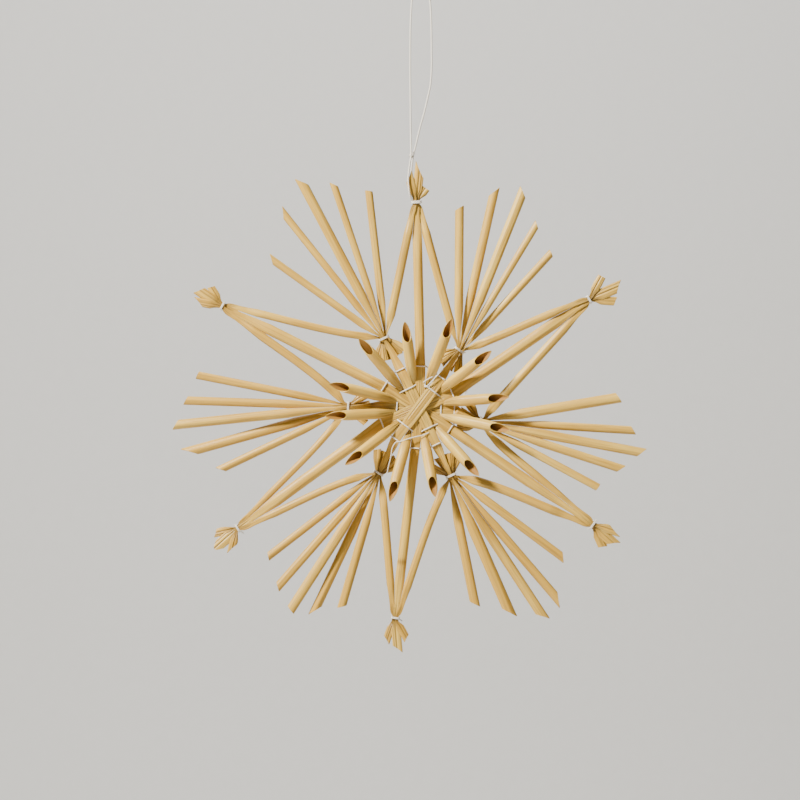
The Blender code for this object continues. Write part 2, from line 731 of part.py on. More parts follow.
def add_loft(name, rings, colour, collection):
    """A closed body lofted through rings with the same number of corners."""
    mesh = bpy.data.meshes.new(name)
    body = bmesh.new()
    loops = [[body.verts.new(corner) for corner in ring] for ring in rings]
    for first, second in zip(loops, loops[1:]):
        for step in range(SECTION_SIDES):
            after = (step + 1) % SECTION_SIDES
            body.faces.new((first[step], first[after], second[after], second[step]))
    body.faces.new(loops[0])
    body.faces.new(loops[-1])
    bmesh.ops.recalc_face_normals(body, faces=body.faces)
    body.to_mesh(mesh)
    body.free()
    mesh.shade_smooth()
    mesh.set_sharp_from_angle(angle=math.radians(SHARP_ANGLE))
    node = bpy.data.objects.new(name, mesh)
    collection.objects.link(node)
    add_material(node, colour, STRAW_ROUGHNESS)


def add_straw(name, stations, number, collection):
    rings = [station_ring(s, t) for s, t in zip(stations, station_tangents(stations))]
    add_loft(name, rings, STRAW_COLOURS[number % len(STRAW_COLOURS)], collection)


def add_tube(number, pair, collection):
    """A tube straw through the hub, open and hollow at both mouths."""
    level = (number + 0.5) * LEVEL_PITCH
    first, first_inner = tube_arm(pair[0], level)
    second, second_inner = tube_arm(pair[1], level)
    skin = first[::-1] + second
    rings = []
    tangents = station_tangents(skin)
    for place, (station, tangent) in enumerate(zip(skin, tangents)):
        turned = station._replace(slant=-station.slant) if place < len(first) else station
        rings.append(station_ring(turned, tangent))
    start = [station_ring(s._replace(slant=-s.slant), tangents[0]) for s in first_inner]
    end = [station_ring(s, tangents[-1]) for s in second_inner]
    rings = start[::-1] + rings + end
    colour = STRAW_COLOURS[number % len(STRAW_COLOURS)]
    add_loft(f"tube_straw_{pair[0]}_{pair[1]}", rings, colour, collection)


def add_thread(name, places, diameter, cyclic, resolution, collection):
    """A thread of round section along the given places."""
    curve = bpy.data.curves.new(name, "CURVE")
    curve.dimensions = "3D"
    curve.bevel_depth = diameter / 2.0
    curve.bevel_resolution = resolution
    curve.use_fill_caps = not cyclic
    spline = curve.splines.new("POLY")
    spline.points.add(len(places) - 1)
    for point, place in zip(spline.points, places):
        point.co = (*place, 1.0)
    spline.use_cyclic_u = cyclic
    node = bpy.data.objects.new(name, curve)
    collection.objects.link(node)
    add_material(node, THREAD_COLOUR, THREAD_ROUGHNESS)


def ring_place(tie, angle, diameter, steps, lift):
    """A place on the oval that a thread takes round a tie's straws."""
    outside = 1.0 / math.cos(math.pi / steps)
    side = math.cos(angle) * (tie.half_width + diameter / 2.0) * outside
    depth = math.sin(angle) * (tie.half_depth + diameter / 2.0) * outside
    plan = tie.centre + tie.across * side + tie.spread * lift
    return Vector((HUB_X + plan[0], depth, HUB_Z + plan[1]))


def add_ring_tie(name, tie, collection):
    turn = 2.0 * math.pi / TIE_STEPS
    places = [ring_place(tie, turn * step, TIE_THREAD, TIE_STEPS, 0.0) for step in range(TIE_STEPS)]
    add_thread(name, places, TIE_THREAD, True, 1, collection)


def smooth_curve(route, steps):
    """Points read from a smooth curve through the route's own points."""
    ends = [route[0] * 2.0 - route[1], *route, route[-1] * 2.0 - route[-2]]
    places = []
    for before, start, end, after in zip(ends, ends[1:], ends[2:], ends[3:]):
        for step in range(steps):
            share = step / steps
            rest = 1.0 - share
            pull_in = (end - before) / 2.0
            pull_out = (after - start) / 2.0
            from_start = (start * (1.0 + 2.0 * share) + pull_in * share) * rest ** 2
            places.append(from_start + (end * (1.0 + 2.0 * rest) - pull_out * rest) * share ** 2)
    return places + [route[-1]]


def add_hanging_thread(tie, collection):
    """The thread that is wound round the upper point, with the loop that the star hangs by."""
    wrap = []
    steps_in_turn = WRAP_STEPS / WRAP_TURNS
    for step in range(WRAP_STEPS):
        turn = step / steps_in_turn
        angle = math.pi / 2.0 + turn * 2.0 * math.pi
        lift = (0.5 * WRAP_TURNS - turn) * WRAP_PITCH
        wrap.append(ring_place(tie, angle, HANGING_THREAD, steps_in_turn, lift))
    route = smooth_curve(THREAD_ROUTE, ROUTE_STEPS)
    add_thread("hanging_thread", wrap + route, HANGING_THREAD, False, 2, collection)


def build():
    for thing in list(bpy.data.objects):
        bpy.data.objects.remove(thing, do_unlink=True)
    collection = bpy.data.collections.new("straw_star")
    bpy.context.scene.collection.children.link(collection)
    ties = plan_ties()
    for number, (name, stations) in enumerate(plan_straws(ties).items()):
        add_straw(name, stations, number, collection)
    for number, pair in enumerate(TUBES):
        add_tube(number, pair, collection)
    for fan in FANS:
        add_ring_tie(f"fan_tie_{fan}", ties[fan], collection)
    for point in POINTS:
        if point != "n":
            add_ring_tie(f"point_tie_{point}", ties[point], collection)
    add_hanging_thread(ties["n"], collection)


build()
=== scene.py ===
"""The hanging straw star as it looks: hollow straws with fibres, folds and slanting cuts,
twisted white thread in its ties, in the two lashings round its hub and in its hanging loop.

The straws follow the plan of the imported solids, read more closely along their length.
Plan coordinates are X and Z about the hub, and depth is Y, from front to back.
"""

import math
import random
from typing import NamedTuple

import bpy
import numpy as np
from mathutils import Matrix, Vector


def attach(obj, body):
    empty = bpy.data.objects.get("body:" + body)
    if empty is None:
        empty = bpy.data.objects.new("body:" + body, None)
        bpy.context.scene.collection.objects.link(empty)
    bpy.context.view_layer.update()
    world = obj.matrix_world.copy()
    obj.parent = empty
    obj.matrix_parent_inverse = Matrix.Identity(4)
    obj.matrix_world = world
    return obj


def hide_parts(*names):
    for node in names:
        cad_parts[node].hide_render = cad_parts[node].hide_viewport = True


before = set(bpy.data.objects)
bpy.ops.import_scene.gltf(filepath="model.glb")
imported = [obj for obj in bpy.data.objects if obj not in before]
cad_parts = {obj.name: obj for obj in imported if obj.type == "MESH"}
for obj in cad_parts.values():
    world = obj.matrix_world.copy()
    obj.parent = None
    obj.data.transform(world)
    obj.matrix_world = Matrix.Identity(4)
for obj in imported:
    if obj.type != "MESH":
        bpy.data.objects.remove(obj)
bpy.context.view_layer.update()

MM = 0.001

# Straw and thread
FLAT_THICKNESS = 0.3 * MM
GAP = 0.3 * MM
HANGING_THREAD = 0.8 * MM
ROUND_SHARE = 0.82

# Reach of the points' and the fans' ties from the hub, and of the fan straws from their ties
POINT_RADIUS = 98.8 * MM
FAN_RADIUS = 33.8 * MM
FAN_STRAW_LENGTH = 70.0 * MM

# Hub
HUB_WIDTH = 5.3 * MM
HUB_PINCH_WIDTH = 4.2 * MM
HUB_WIDE_RADIUS = 8.0 * MM
HUB_PINCH_RADIUS = 12.0 * MM
HUB_MARK_RADIUS = 17.0 * MM
SHAPED_RADIUS = 27.0 * MM

# Ties
FAN_SEAT = 0.55 * MM
FAN_PINCH = 0.25
FAN_WAIST = 1.7 * MM
POINT_SEAT = 0.75 * MM
POINT_PINCH = 0.45
POINT_WAIST = 2.4 * MM
STUB_LENGTH = 9.5 * MM
STUB_SHARE = 0.68
STUB_SPREAD = 0.7
STUB_CLEAR = 1.2 * MM
AXIS_NECK_SHARE = 0.26
FULL_LENGTH = 21.0 * MM
SIDE_SHAPING_SHARE = 0.2
SIDE_BOW_SHARE = 1.0 / 3.0
SIDE_TURN_BACK = 1.0 / 3.0
LEVEL_START = 0.3

# Tube straws
TUBE_REACH = 43.0 * MM
TUBE_DIAMETER = 5.0 * MM
TUBE_FLAT_WIDTH = 4.6 * MM
TUBE_NECK = 0.9 * MM
TUBE_LEVEL_RADIUS = 11.5 * MM
TUBE_RISE_LENGTH = 3.5 * MM
TUBE_LEAN = 17.0
TUBE_CUT = 30.0

# The upper point's tie, below and beside the inner top of the hanging loop
THREAD_DROP = 101.6 * MM
THREAD_ASIDE = -2.1 * MM


class Arm(NamedTuple):
    """A tie's angle and radius about the hub, and the angle its straw leaves the hub at."""
    angle: float
    radius: float
    leaves: float


class Free(NamedTuple):
    """A fan straw's heading and length from its tie, its width, and its left corner's lead."""
    heading: float
    length: float
    width: float
    lead: float


class Side(NamedTuple):
    """A side straw's fan, its point, its width, and how far its start turns off the chord."""
    fan: str
    point: str
    width: float
    turn: float


class Finger(NamedTuple):
    """A straw's end past a point tie: heading, length, width, and its left corner's lead."""
    heading: float
    length: float
    width: float
    lead: float


class Mouth(NamedTuple):
    """A tube end: the two hub straws that it passes between, and where its tip stands."""
    between: tuple
    angle: float
    reach: float


def arms(radius, rows):
    """Arms by name, from their angle, how much further out they are in mm, and where they leave."""
    return {
        name: Arm(angle, radius + further * MM, leaves)
        for name, (angle, further, leaves) in rows.items()
    }


POINTS = arms(POINT_RADIUS, {
    "n": (90.7, -2.4, 87.5), "ne": (32.5, -4.4, 23.8), "se": (326.1, -0.9, 327.0),
    "s": (263.6, -0.1, 264.6), "sw": (213.6, 2.9, 201.3), "nw": (152.5, 4.8, 148.6),
})
FANS = arms(FAN_RADIUS, {
    "ul": (116.6, 2.8, 115.8), "ur": (55.1, -0.7, 53.5), "r": (347.1, -4.5, 358.0),
    "lr": (295.4, 1.2, 295.3), "ll": (238.1, 2.0, 232.8), "l": (179.2, -0.6, 176.0),
})
ARMS = {**POINTS, **FANS}

# Straws through the hub, from the front one to the back one, with their widths
THROUGH = {
    ("ur", "ll"): 4.4 * MM,
    ("ul", "lr"): 4.6 * MM,
    ("n", "s"): 4.4 * MM,
    ("sw", "ne"): 5.2 * MM,
    ("nw", "se"): 5.0 * MM,
    ("l", "r"): 4.4 * MM,
}

# The five straws of each fan, the axis straw third, as the heading, how much longer than usual,
# the width and the lead, in mm
FAN_STRAWS = {
    fan: tuple(Free(angle, FAN_STRAW_LENGTH + longer * MM, width * MM, lead * MM)
               for angle, longer, width, lead in rows)
    for fan, rows in {
        "ul": ((144.4, -7.0, 3.5, -4.1), (128.5, 4.5, 3.5, -5.2), (117.8, 11.5, 4.8, 5.3),
               (108.4, 4.5, 3.4, 3.0), (96.5, -2.0, 3.6, 1.0)),
        "ur": ((89.6, -5.0, 4.1, -2.4), (77.4, 5.0, 4.2, -4.9), (68.3, 8.5, 4.4, 4.4),
               (58.9, -2.0, 3.2, 2.7), (47.5, -8.5, 3.5, 1.4)),
        "r": ((9.4, -5.5, 4.9, -2.2), (356.6, 1.0, 3.9, -2.6), (349.4, 6.0, 3.7, 3.7),
              (342.1, -1.5, 4.0, 3.1), (331.8, -8.0, 3.7, 0.4)),
        "lr": ((323.3, -6.5, 4.0, -3.4), (310.6, 6.0, 4.2, -6.5), (303.2, 7.5, 3.3, 5.2),
               (293.6, -1.5, 5.1, 6.0), (281.4, -10.0, 4.4, 3.3)),
        "ll": ((253.9, -6.5, 4.0, -2.2), (244.8, 0.0, 4.2, -6.0), (237.3, 5.0, 4.0, 1.6),
               (228.8, 0.0, 4.0, 2.4), (217.8, -6.5, 3.7, 1.8)),
        "l": ((205.5, -5.0, 3.7, -3.6), (195.5, 6.0, 4.7, -7.5), (185.9, 10.0, 5.1, 3.3),
              (178.1, 5.0, 4.0, 2.0), (168.8, 1.0, 3.7, 0.9)),
    }.items()
}

# Side straws, as the fan, the point, the width in mm and the turn
SIDES = tuple(Side(fan, point, width * MM, turn) for fan, point, width, turn in (
    ("ul", "nw", 3.5, 5.0), ("ul", "n", 3.9, 0.0), ("ur", "n", 3.9, 0.0), ("ur", "ne", 3.9, 0.0),
    ("r", "ne", 4.1, 0.0), ("r", "se", 3.9, -3.0), ("lr", "se", 4.2, 6.0), ("lr", "s", 3.6, -4.0),
    ("ll", "s", 3.7, 0.0), ("ll", "sw", 3.5, -6.0), ("l", "sw", 3.2, 4.0), ("l", "nw", 4.0, -5.0),
))

SIDE_SHARES = (0.0, 0.17, 0.38, 0.62, 0.83, 1.0)

# The three ends past each point tie, anticlockwise, as the heading, then the length, the width
# and the lead in mm
FINGERS = {
    point: tuple(Finger(angle, length * MM, width * MM, lead * MM) for angle, length, width, lead in rows)
    for point, rows in {
        "n": ((54, 6.5, 2.8, 0.0), (84, 14.0, 4.2, 7.5), (104, 11.0, 4.0, -5.0)),
        "ne": ((356, 11.0, 4.0, 1.3), (23, 14.0, 4.8, 4.2), (61, 11.0, 4.4, 0.0)),
        "se": ((295, 10.0, 3.8, 1.2), (318, 12.0, 4.6, 4.3), (342, 9.5, 4.4, -6.0)),
        "s": ((251, 10.0, 4.0, 3.1), (275, 13.5, 4.2, 3.5), (299, 9.5, 3.8, -2.2)),
        "sw": ((194, 9.5, 4.2, 2.0), (222, 13.5, 5.2, 0.0), (255, 8.5, 4.0, -5.0)),
        "nw": ((122, 9.0, 3.4, 1.0), (146, 12.0, 4.8, 3.0), (169, 10.0, 4.2, -4.6)),
    }.items()
}

TUBES = (("nnw", "sse"), ("nne", "ssw"), ("ene", "wsw"), ("e", "w"), ("ese", "wnw"), ("se", "nw"))
MOUTHS = {
    key: Mouth(gap, angle, TUBE_REACH + further * MM)
    for key, (gap, angle, further) in {
        "nnw": (("n", "ul"), 99.5, -2.2), "nne": (("ur", "n"), 69.8, 1.6),
        "ene": (("ne", "ur"), 38.4, -0.1), "e": (("r", "ne"), 7.0, -1.0),
        "ese": (("se", "r"), 346.4, 0.6), "se": (("lr", "se"), 311.4, -0.9),
        "sse": (("s", "lr"), 280.3, -1.0), "ssw": (("ll", "s"), 252.6, 2.4),
        "wsw": (("sw", "ll"), 217.5, 0.3), "w": (("l", "sw"), 184.9, 0.7),
        "wnw": (("nw", "l"), 165.0, 0.4), "nw": (("ul", "nw"), 130.9, -0.1),
    }.items()
}

# The thread's route from the left of the upper tie, round the loop and back behind the tie
THREAD_ROUTE = [
    Vector(point) * MM
    for point in (
        (-5.4, -2.2, -97.4), (-6.0, -2.1, -91.7), (-5.7, -1.6, -87.5), (-5.2, -1.1, -83.6),
        (-4.6, -0.7, -79.9), (-4.6, -0.3, -76.3), (-4.7, 0.0, -71.1), (-4.8, 0.0, -64.0),
        (-4.9, 0.0, -53.8), (-5.0, 0.0, -42.6), (-5.0, 0.0, -31.4), (-4.9, 0.0, -21.1),
        (-4.6, 0.0, -13.0), (-4.1, 0.0, -6.6), (-2.7, 0.0, -1.3), (0.0, 0.0, 0.4),
        (2.7, 0.0, -1.3), (4.1, 0.0, -6.6), (4.7, 0.0, -13.6), (4.9, 0.0, -22.0),
        (5.0, 0.0, -31.4), (5.0, 0.0, -38.5), (4.5, 0.0, -46.3), (3.2, 0.0, -52.6),
        (1.6, 0.0, -59.4), (0.0, 0.0, -65.1), (-1.3, 0.1, -70.2), (-2.5, 0.3, -75.3),
        (-3.6, 0.7, -79.8), (-4.2, 1.1, -84.0), (-4.5, 1.9, -89.0), (-4.2, 2.5, -94.0),
        (-3.0, 2.6, -98.6),
    )
]

LEVEL_PITCH = FLAT_THICKNESS + GAP
FAN_LEVELS = (0, 2, -2, -3, 3, -1, 1)
POINT_LEVELS = (-1, 0, 1)
HUB_Z = -THREAD_DROP - POINTS["n"].radius * math.sin(math.radians(POINTS["n"].angle))
HUB_X = THREAD_ASIDE - POINTS["n"].radius * math.cos(math.radians(POINTS["n"].angle))


class Station(NamedTuple):
    """A cross section of a straw: plan place, depth, half width and half depth."""
    plan: np.ndarray
    depth: float
    half_width: float
    half_depth: float


def heading(angle):
    """The unit plan vector at an angle in degrees."""
    return np.array((math.cos(math.radians(angle)), math.sin(math.radians(angle))))


def angle_of(vector):
    """The angle of a plan vector, in degrees."""
    return math.degrees(math.atan2(vector[1], vector[0])) % 360.0


def turn_between(first, second):
    """The signed turn from one angle to another, within half a turn."""
    return (second - first + 180.0) % 360.0 - 180.0


def smooth(share):
    """A smooth step from 0 to 1."""
    share = min(max(share, 0.0), 1.0)
    return share * share * (3.0 - 2.0 * share)


def blend(start, end, share):
    """The value that lies this share of the way from start to end."""
    return start + (end - start) * share


def in_space(plan, depth):
    """The place in space of a plan place and a depth."""
    return (HUB_X + plan[0], depth, HUB_Z + plan[1])


def lengths_along(places):
    """How far along a path each of its places is."""
    return np.concatenate(([0.0], np.cumsum(np.linalg.norm(np.diff(places, axis=0), axis=1))))


def tie_place(arm):
    """The plan place of an arm's tie."""
    return heading(arm.angle) * arm.radius


class Seat(NamedTuple):
    """Where one straw passes through a tie, with its headings before and past the tie."""
    place: int
    near: np.ndarray
    far: np.ndarray
    depth: float
    half_width: float
    heading: float
    past: float


class Tie:
    """A bundle of straws held by a thread, spreading from it to one side."""

    def __init__(self, arm, spread_angle, widths, headings, seat, pinch, waist, levels):
        self.centre = tie_place(arm)
        self.spread = heading(spread_angle)
        self.across = np.array((-self.spread[1], self.spread[0]))
        order = sorted(headings, key=lambda name: turn_between(spread_angle, headings[name]))
        middle = (len(order) - 1) / 2.0
        self.seats = {}
        self.clear = 0.0
        for place, name in enumerate(order):
            side = self.across * (place - middle) * seat
            half_width = widths[name] * pinch / 2.0
            self.seats[name] = Seat(
                place,
                self.centre + side + self.spread * waist / 2.0,
                self.centre + side - self.spread * waist / 2.0,
                levels[place] * LEVEL_PITCH, half_width, headings[name],
                spread_angle + 180.0 - STUB_SPREAD * turn_between(spread_angle, headings[name]),
            )
            if place:
                before = self.seats[order[place - 1]]
                turn = math.radians(turn_between(before.heading, headings[name]))
                lean = math.radians(turn_between(spread_angle, headings[name]))
                needed = half_width + before.half_width + GAP - seat * math.cos(lean)
                self.clear = max(self.clear, needed / math.sin(turn))
        corners = [
            (abs((place - middle) * seat) + self.seats[name].half_width,
             abs(levels[place]) * LEVEL_PITCH + FLAT_THICKNESS / 2.0)
            for place, name in enumerate(order)
        ]
        self.widest = max(corner[0] for corner in corners)
        self.deepest = max(corner[1] for corner in corners)


def side_name(side):
    return f"side_straw_{side.fan}_{side.point}"


def through_name(pair):
    kind = "main" if pair[0] in POINTS else "axis"
    return f"{kind}_straw_{pair[0]}_{pair[1]}"


def axis_place(fan):
    """The place of the axis straw among its fan's straws."""
    return len(FAN_STRAWS[fan]) // 2


def fan_straw_name(fan, place):
    """The name of a fan's straw, where the straw through the hub is its axis."""
    if place == axis_place(fan):
        return through_name(next(pair for pair in THROUGH if fan in pair))
    return f"fan_straw_{fan}_{place + 1 if place < axis_place(fan) else place}"


def loose_straws():
    """Every fan straw besides the axis straws, with its fan and its name."""
    for fan, fan_straws in FAN_STRAWS.items():
        for place, straw in enumerate(fan_straws):
            if place != axis_place(fan):
                yield fan, fan_straw_name(fan, place), straw


def plan_ties():
    """Work out every tie from the straws that meet there."""
    ties = {}
    for fan, arm in FANS.items():
        widths = {}
        headings = {}
        for place, straw in enumerate(FAN_STRAWS[fan]):
            widths[fan_straw_name(fan, place)] = straw.width
            headings[fan_straw_name(fan, place)] = straw.heading
        for side in SIDES:
            if side.fan == fan:
                chord = tie_place(POINTS[side.point]) - tie_place(arm)
                widths[side_name(side)] = side.width
                headings[side_name(side)] = angle_of(chord) + side.turn
        ties[fan] = Tie(arm, arm.angle, widths, headings, FAN_SEAT, FAN_PINCH, FAN_WAIST, FAN_LEVELS)
    for point, arm in POINTS.items():
        pair = next(pair for pair in THROUGH if point in pair)
        mark = heading(arm.leaves) * HUB_MARK_RADIUS
        widths = {through_name(pair): THROUGH[pair]}
        headings = {through_name(pair): angle_of(mark - tie_place(arm))}
        for side in SIDES:
            if side.point == point:
                chord = tie_place(FANS[side.fan]) - tie_place(arm)
                widths[side_name(side)] = side.width
                headings[side_name(side)] = angle_of(chord) - side.turn * SIDE_TURN_BACK
        ties[point] = Tie(
            arm, arm.angle + 180.0, widths, headings, POINT_SEAT, POINT_PINCH, POINT_WAIST, POINT_LEVELS,
        )
    return ties


def distance_to_path(place, path):
    """The shortest plan distance from a place to a path of straight legs."""
    starts = path[:-1]
    legs = path[1:] - starts
    shares = np.sum((place - starts) * legs, axis=1) / np.sum(legs * legs, axis=1)
    nearest = starts + legs * np.clip(shares, 0.0, 1.0)[:, None]
    return float(np.min(np.linalg.norm(nearest - place, axis=1)))


class Straws:
    """The flat star's ties, with the full width and the plan path of every straw in it."""

    def __init__(self, ties):
        self.ties = ties
        self.widths = {}
        self.paths = {}

    def room(self, name, place):
        """The half width that leaves the neighbours theirs and the gap between them."""
        width = self.widths[name]
        room = width / 2.0
        for other, path in self.paths.items():
            if other != name:
                share = width / (width + self.widths[other])
                room = min(room, (distance_to_path(place, path) - GAP) * share)
        return room


def flat_end(seat, angle, length, width):
    """The flat end of a straw behind its tie, from its tip to the tie."""
    tip = seat.far + heading(angle) * length
    flat = FLAT_THICKNESS / 2.0
    return [
        Station(tip, seat.depth, width / 2.0, flat),
        Station(seat.far, seat.depth, seat.half_width, flat),
        Station(seat.near, seat.depth, seat.half_width, flat),
    ]


def stub_stations(seat, width):
    """A straw's stub past its fan tie, on the side of the tie that the straw is on."""
    return flat_end(seat, seat.past, STUB_LENGTH, width * STUB_SHARE)


def finger_stations(point, seat):
    """A straw's splayed end past a point tie, on the side of the tie that the straw is on."""
    finger = FINGERS[point][-1 - seat.place]
    return flat_end(seat, finger.heading, finger.length, finger.width)


def free_stations(straws, tie, name, straw):
    """A fan straw's sections from its tie to its slanting cut."""
    seat = tie.seats[name]
    direction = heading(straw.heading)
    stations = []
    for distance in (tie.clear, tie.clear + FULL_LENGTH, straw.length):
        place = seat.near + direction * distance
        share = smooth((distance - tie.clear) / FULL_LENGTH)
        half_width = max(straws.room(name, place), seat.half_width)
        half_depth = blend(FLAT_THICKNESS, straw.width * ROUND_SHARE, share) / 2.0
        stations.append(Station(place, seat.depth, half_width, half_depth))
    return stations


def side_path(ties, side):
    """A side straw's bowed plan path between its two ties, with each place's share of it."""
    start = ties[side.fan].seats[side_name(side)]
    end = ties[side.point].seats[side_name(side)]
    start_clear = start.near + heading(start.heading) * ties[side.fan].clear
    end_clear = end.near + heading(end.heading) * ties[side.point].clear
    reach = np.linalg.norm(end_clear - start_clear) * SIDE_BOW_SHARE
    first = start_clear + heading(start.heading) * reach
    second = end_clear + heading(end.heading) * reach
    places = []
    for share in SIDE_SHARES:
        rest = 1.0 - share
        places.append((share, start_clear * rest ** 3 + first * 3 * share * rest ** 2
                       + second * 3 * share ** 2 * rest + end_clear * share ** 3))
    return places


def hub_path(pair):
    """A through straw's plan path across the hub, from one mark to the other."""
    start, end = [heading(ARMS[name].leaves) for name in pair]
    radii = (HUB_MARK_RADIUS, HUB_PINCH_RADIUS, HUB_WIDE_RADIUS)
    return [(radius, start * radius) for radius in radii] + [(radius, end * radius) for radius in radii[::-1]]


def hub_half_width(radius):
    return (HUB_WIDTH if radius <= HUB_WIDE_RADIUS else HUB_PINCH_WIDTH) / 2.0


def hub_level(pair):
    """The depth of a straw that crosses the hub in front of the tubes."""
    return (list(THROUGH).index(pair) - len(THROUGH) + 0.5) * LEVEL_PITCH


def point_leg(straws, pair, point, level):
    """A main straw's sections from its finger, through its tie, towards the hub."""
    tie = straws.ties[point]
    name = through_name(pair)
    seat = tie.seats[name]
    width = THROUGH[pair]
    stations = finger_stations(point, seat)
    clear = seat.near + heading(seat.heading) * tie.clear
    mark = heading(POINTS[point].leaves) * HUB_MARK_RADIUS
    inward = (mark - clear) / np.linalg.norm(mark - clear)
    length = np.linalg.norm(mark - clear)
    shaped = length - (SHAPED_RADIUS - HUB_MARK_RADIUS)
    for distance in (0.0, FULL_LENGTH, shaped):
        place = clear + inward * distance
        share = smooth(distance / FULL_LENGTH)
        half_width = max(straws.room(name, place), seat.half_width)
        half_depth = blend(FLAT_THICKNESS, width * ROUND_SHARE, share) / 2.0
        depth = seat.depth if distance < shaped else blend(seat.depth, level, LEVEL_START)
        stations.append(Station(place, depth, half_width, half_depth))
    return stations


def fan_leg(straws, pair, fan, level):
    """An axis straw's sections from its outer cut, through its tie, towards the hub."""
    tie = straws.ties[fan]
    name = through_name(pair)
    seat = tie.seats[name]
    flat = FLAT_THICKNESS / 2.0
    outer = free_stations(straws, tie, name, FAN_STRAWS[fan][axis_place(fan)])
    mark = heading(FANS[fan].leaves) * HUB_MARK_RADIUS
    inward = (mark - seat.far) / np.linalg.norm(mark - seat.far)
    past_stubs = seat.far + inward * (STUB_LENGTH + STUB_CLEAR)
    stations = list(reversed(outer))
    stations.append(Station(seat.near, seat.depth, seat.half_width, flat))
    stations.append(Station(seat.far, seat.depth, seat.half_width, flat))
    stations.append(Station(past_stubs, seat.depth, THROUGH[pair] * AXIS_NECK_SHARE, flat))
    return stations


def through_stations(straws, pair):
    """A straw's sections from end to end through the hub."""
    level = hub_level(pair)
    leg = point_leg if pair[0] in POINTS else fan_leg
    stations = leg(straws, pair, pair[0], level)
    for radius, place in hub_path(pair):
        stations.append(Station(place, level, hub_half_width(radius), FLAT_THICKNESS / 2.0))
    return stations + list(reversed(leg(straws, pair, pair[1], level)))


def side_stations(straws, side):
    """A side straw's sections from its stub, through both ties, to its finger."""
    name = side_name(side)
    fan = straws.ties[side.fan]
    point = straws.ties[side.point]
    start = fan.seats[name]
    end = point.seats[name]
    stations = stub_stations(start, side.width)
    for share, place in side_path(straws.ties, side):
        shaped = smooth(min(share, 1.0 - share) / SIDE_SHAPING_SHARE)
        least = blend(start.half_width, end.half_width, share)
        half_width = max(straws.room(name, place), least)
        half_depth = blend(FLAT_THICKNESS, side.width * ROUND_SHARE, shaped) / 2.0
        stations.append(Station(place, blend(start.depth, end.depth, share), half_width, half_depth))
    return stations + list(reversed(finger_stations(side.point, end)))


def plan_straws(ties):
    """Lay every flat straw's plan path, then give each its sections."""
    straws = Straws(ties)
    for pair, width in THROUGH.items():
        name = through_name(pair)
        straws.widths[name] = width
        path = [place for radius, place in hub_path(pair)]
        for end, arm_name in ((0, pair[0]), (1, pair[1])):
            seat = ties[arm_name].seats[name]
            outer = [seat.far, seat.near, seat.near + heading(seat.heading) * ties[arm_name].clear]
            if arm_name in FANS:
                axis = FAN_STRAWS[arm_name][axis_place(arm_name)]
                outer = [seat.near + heading(axis.heading) * axis.length, seat.near, seat.far]
            path = outer + path if end == 0 else path + outer[::-1]
        straws.paths[name] = np.array(path)
    for fan, name, straw in loose_straws():
        near = ties[fan].seats[name].near
        straws.widths[name] = straw.width
        straws.paths[name] = np.array((near, near + heading(straw.heading) * straw.length))
    for side in SIDES:
        start = ties[side.fan].seats[side_name(side)]
        end = ties[side.point].seats[side_name(side)]
        straws.widths[side_name(side)] = side.width
        middle = [place for share, place in side_path(ties, side)]
        straws.paths[side_name(side)] = np.array([start.far, start.near, *middle, end.near, end.far])

    sections = {through_name(pair): through_stations(straws, pair) for pair in THROUGH}
    for fan, name, straw in loose_straws():
        outer = free_stations(straws, ties[fan], name, straw)
        sections[name] = stub_stations(ties[fan].seats[name], straw.width) + outer
    for side in SIDES:
        sections[side_name(side)] = side_stations(straws, side)
    return straws, sections


def smooth_curve(route, steps):
    """Points read from a smooth curve through the route's own points."""
    ends = [route[0] * 2.0 - route[1], *route, route[-1] * 2.0 - route[-2]]
    places = []
    for before, start, end, after in zip(ends, ends[1:], ends[2:], ends[3:]):
        for step in range(steps):
            share = step / steps
            rest = 1.0 - share
            pull_in = (end - before) / 2.0
            pull_out = (after - start) / 2.0
            from_start = (start * (1.0 + 2.0 * share) + pull_in * share) * rest ** 2
            places.append(from_start + (end * (1.0 + 2.0 * rest) - pull_out * rest) * share ** 2)
    return places + [route[-1]]


# Fineness of the meshes
STRAW_SIDES = 28
TUBE_SIDES = 36
HUB_STRAW_SIDES = 48
FINE_STEP = 0.45 * MM
COARSE_STEP = 1.7 * MM
FINE_STRETCH = 9.0 * MM

# Straw skins and cuts
WALL = 0.3 * MM
RIM_TONE = 0.1
EDGE_SHADE = 0.8
EDGE_START = 0.8
EDGE_RUN = 0.2
REAR_SHADE = 0.5
BORE = 7.0 * MM
SHORT_BORE = 2.5 * MM
TUBE_BORE = 14.0 * MM
HUB_THICKNESS = 0.42 * MM
STUB_DEPTH = 0.85 * MM
FINGER_DEPTH = 0.75 * MM
QUILL_POINT = 1.25
BEVEL_POINT = 1.8
FRONT_LIP = -0.12
STUB_BEVEL = 0.25
TOUCH = 0.12 * MM
SHOULDER = 0.5 * MM
SHOULDER_REACH = 2.6 * MM
SHOULDER_SWELL = 0.8
# Reach of the painted shade around each crease at a tie
CREASE_REACH = 4.0 * MM
GROOVE_EASE = 4.0 * MM
FOLD_RUN = 9.0 * MM
PAST_END = 30.0 * MM
FOLD_ASIDE = 0.25
FOLD_SPACING = 0.55
LEAST_INSIDE = 0.3
CUT_RUN = 1.6
FACETS = (3, 5, 7)
FACET_DEPTH = (0.008, 0.02)
SHARP_ANGLE = 40.0
GRAIN_SHIFT = 500.0
PEAK_WIDTH = 5.0 * MM
PEAK_SHARE = 0.7

# Depth, half width and shade of the grooves
DEEP_FOLD = (0.4 * MM, 0.28 * MM, 1.0)
SHALLOW_FOLD = (0.25 * MM, 0.22 * MM, 0.9)
TUBE_FOLD = (0.22 * MM, 0.2 * MM, 0.7)

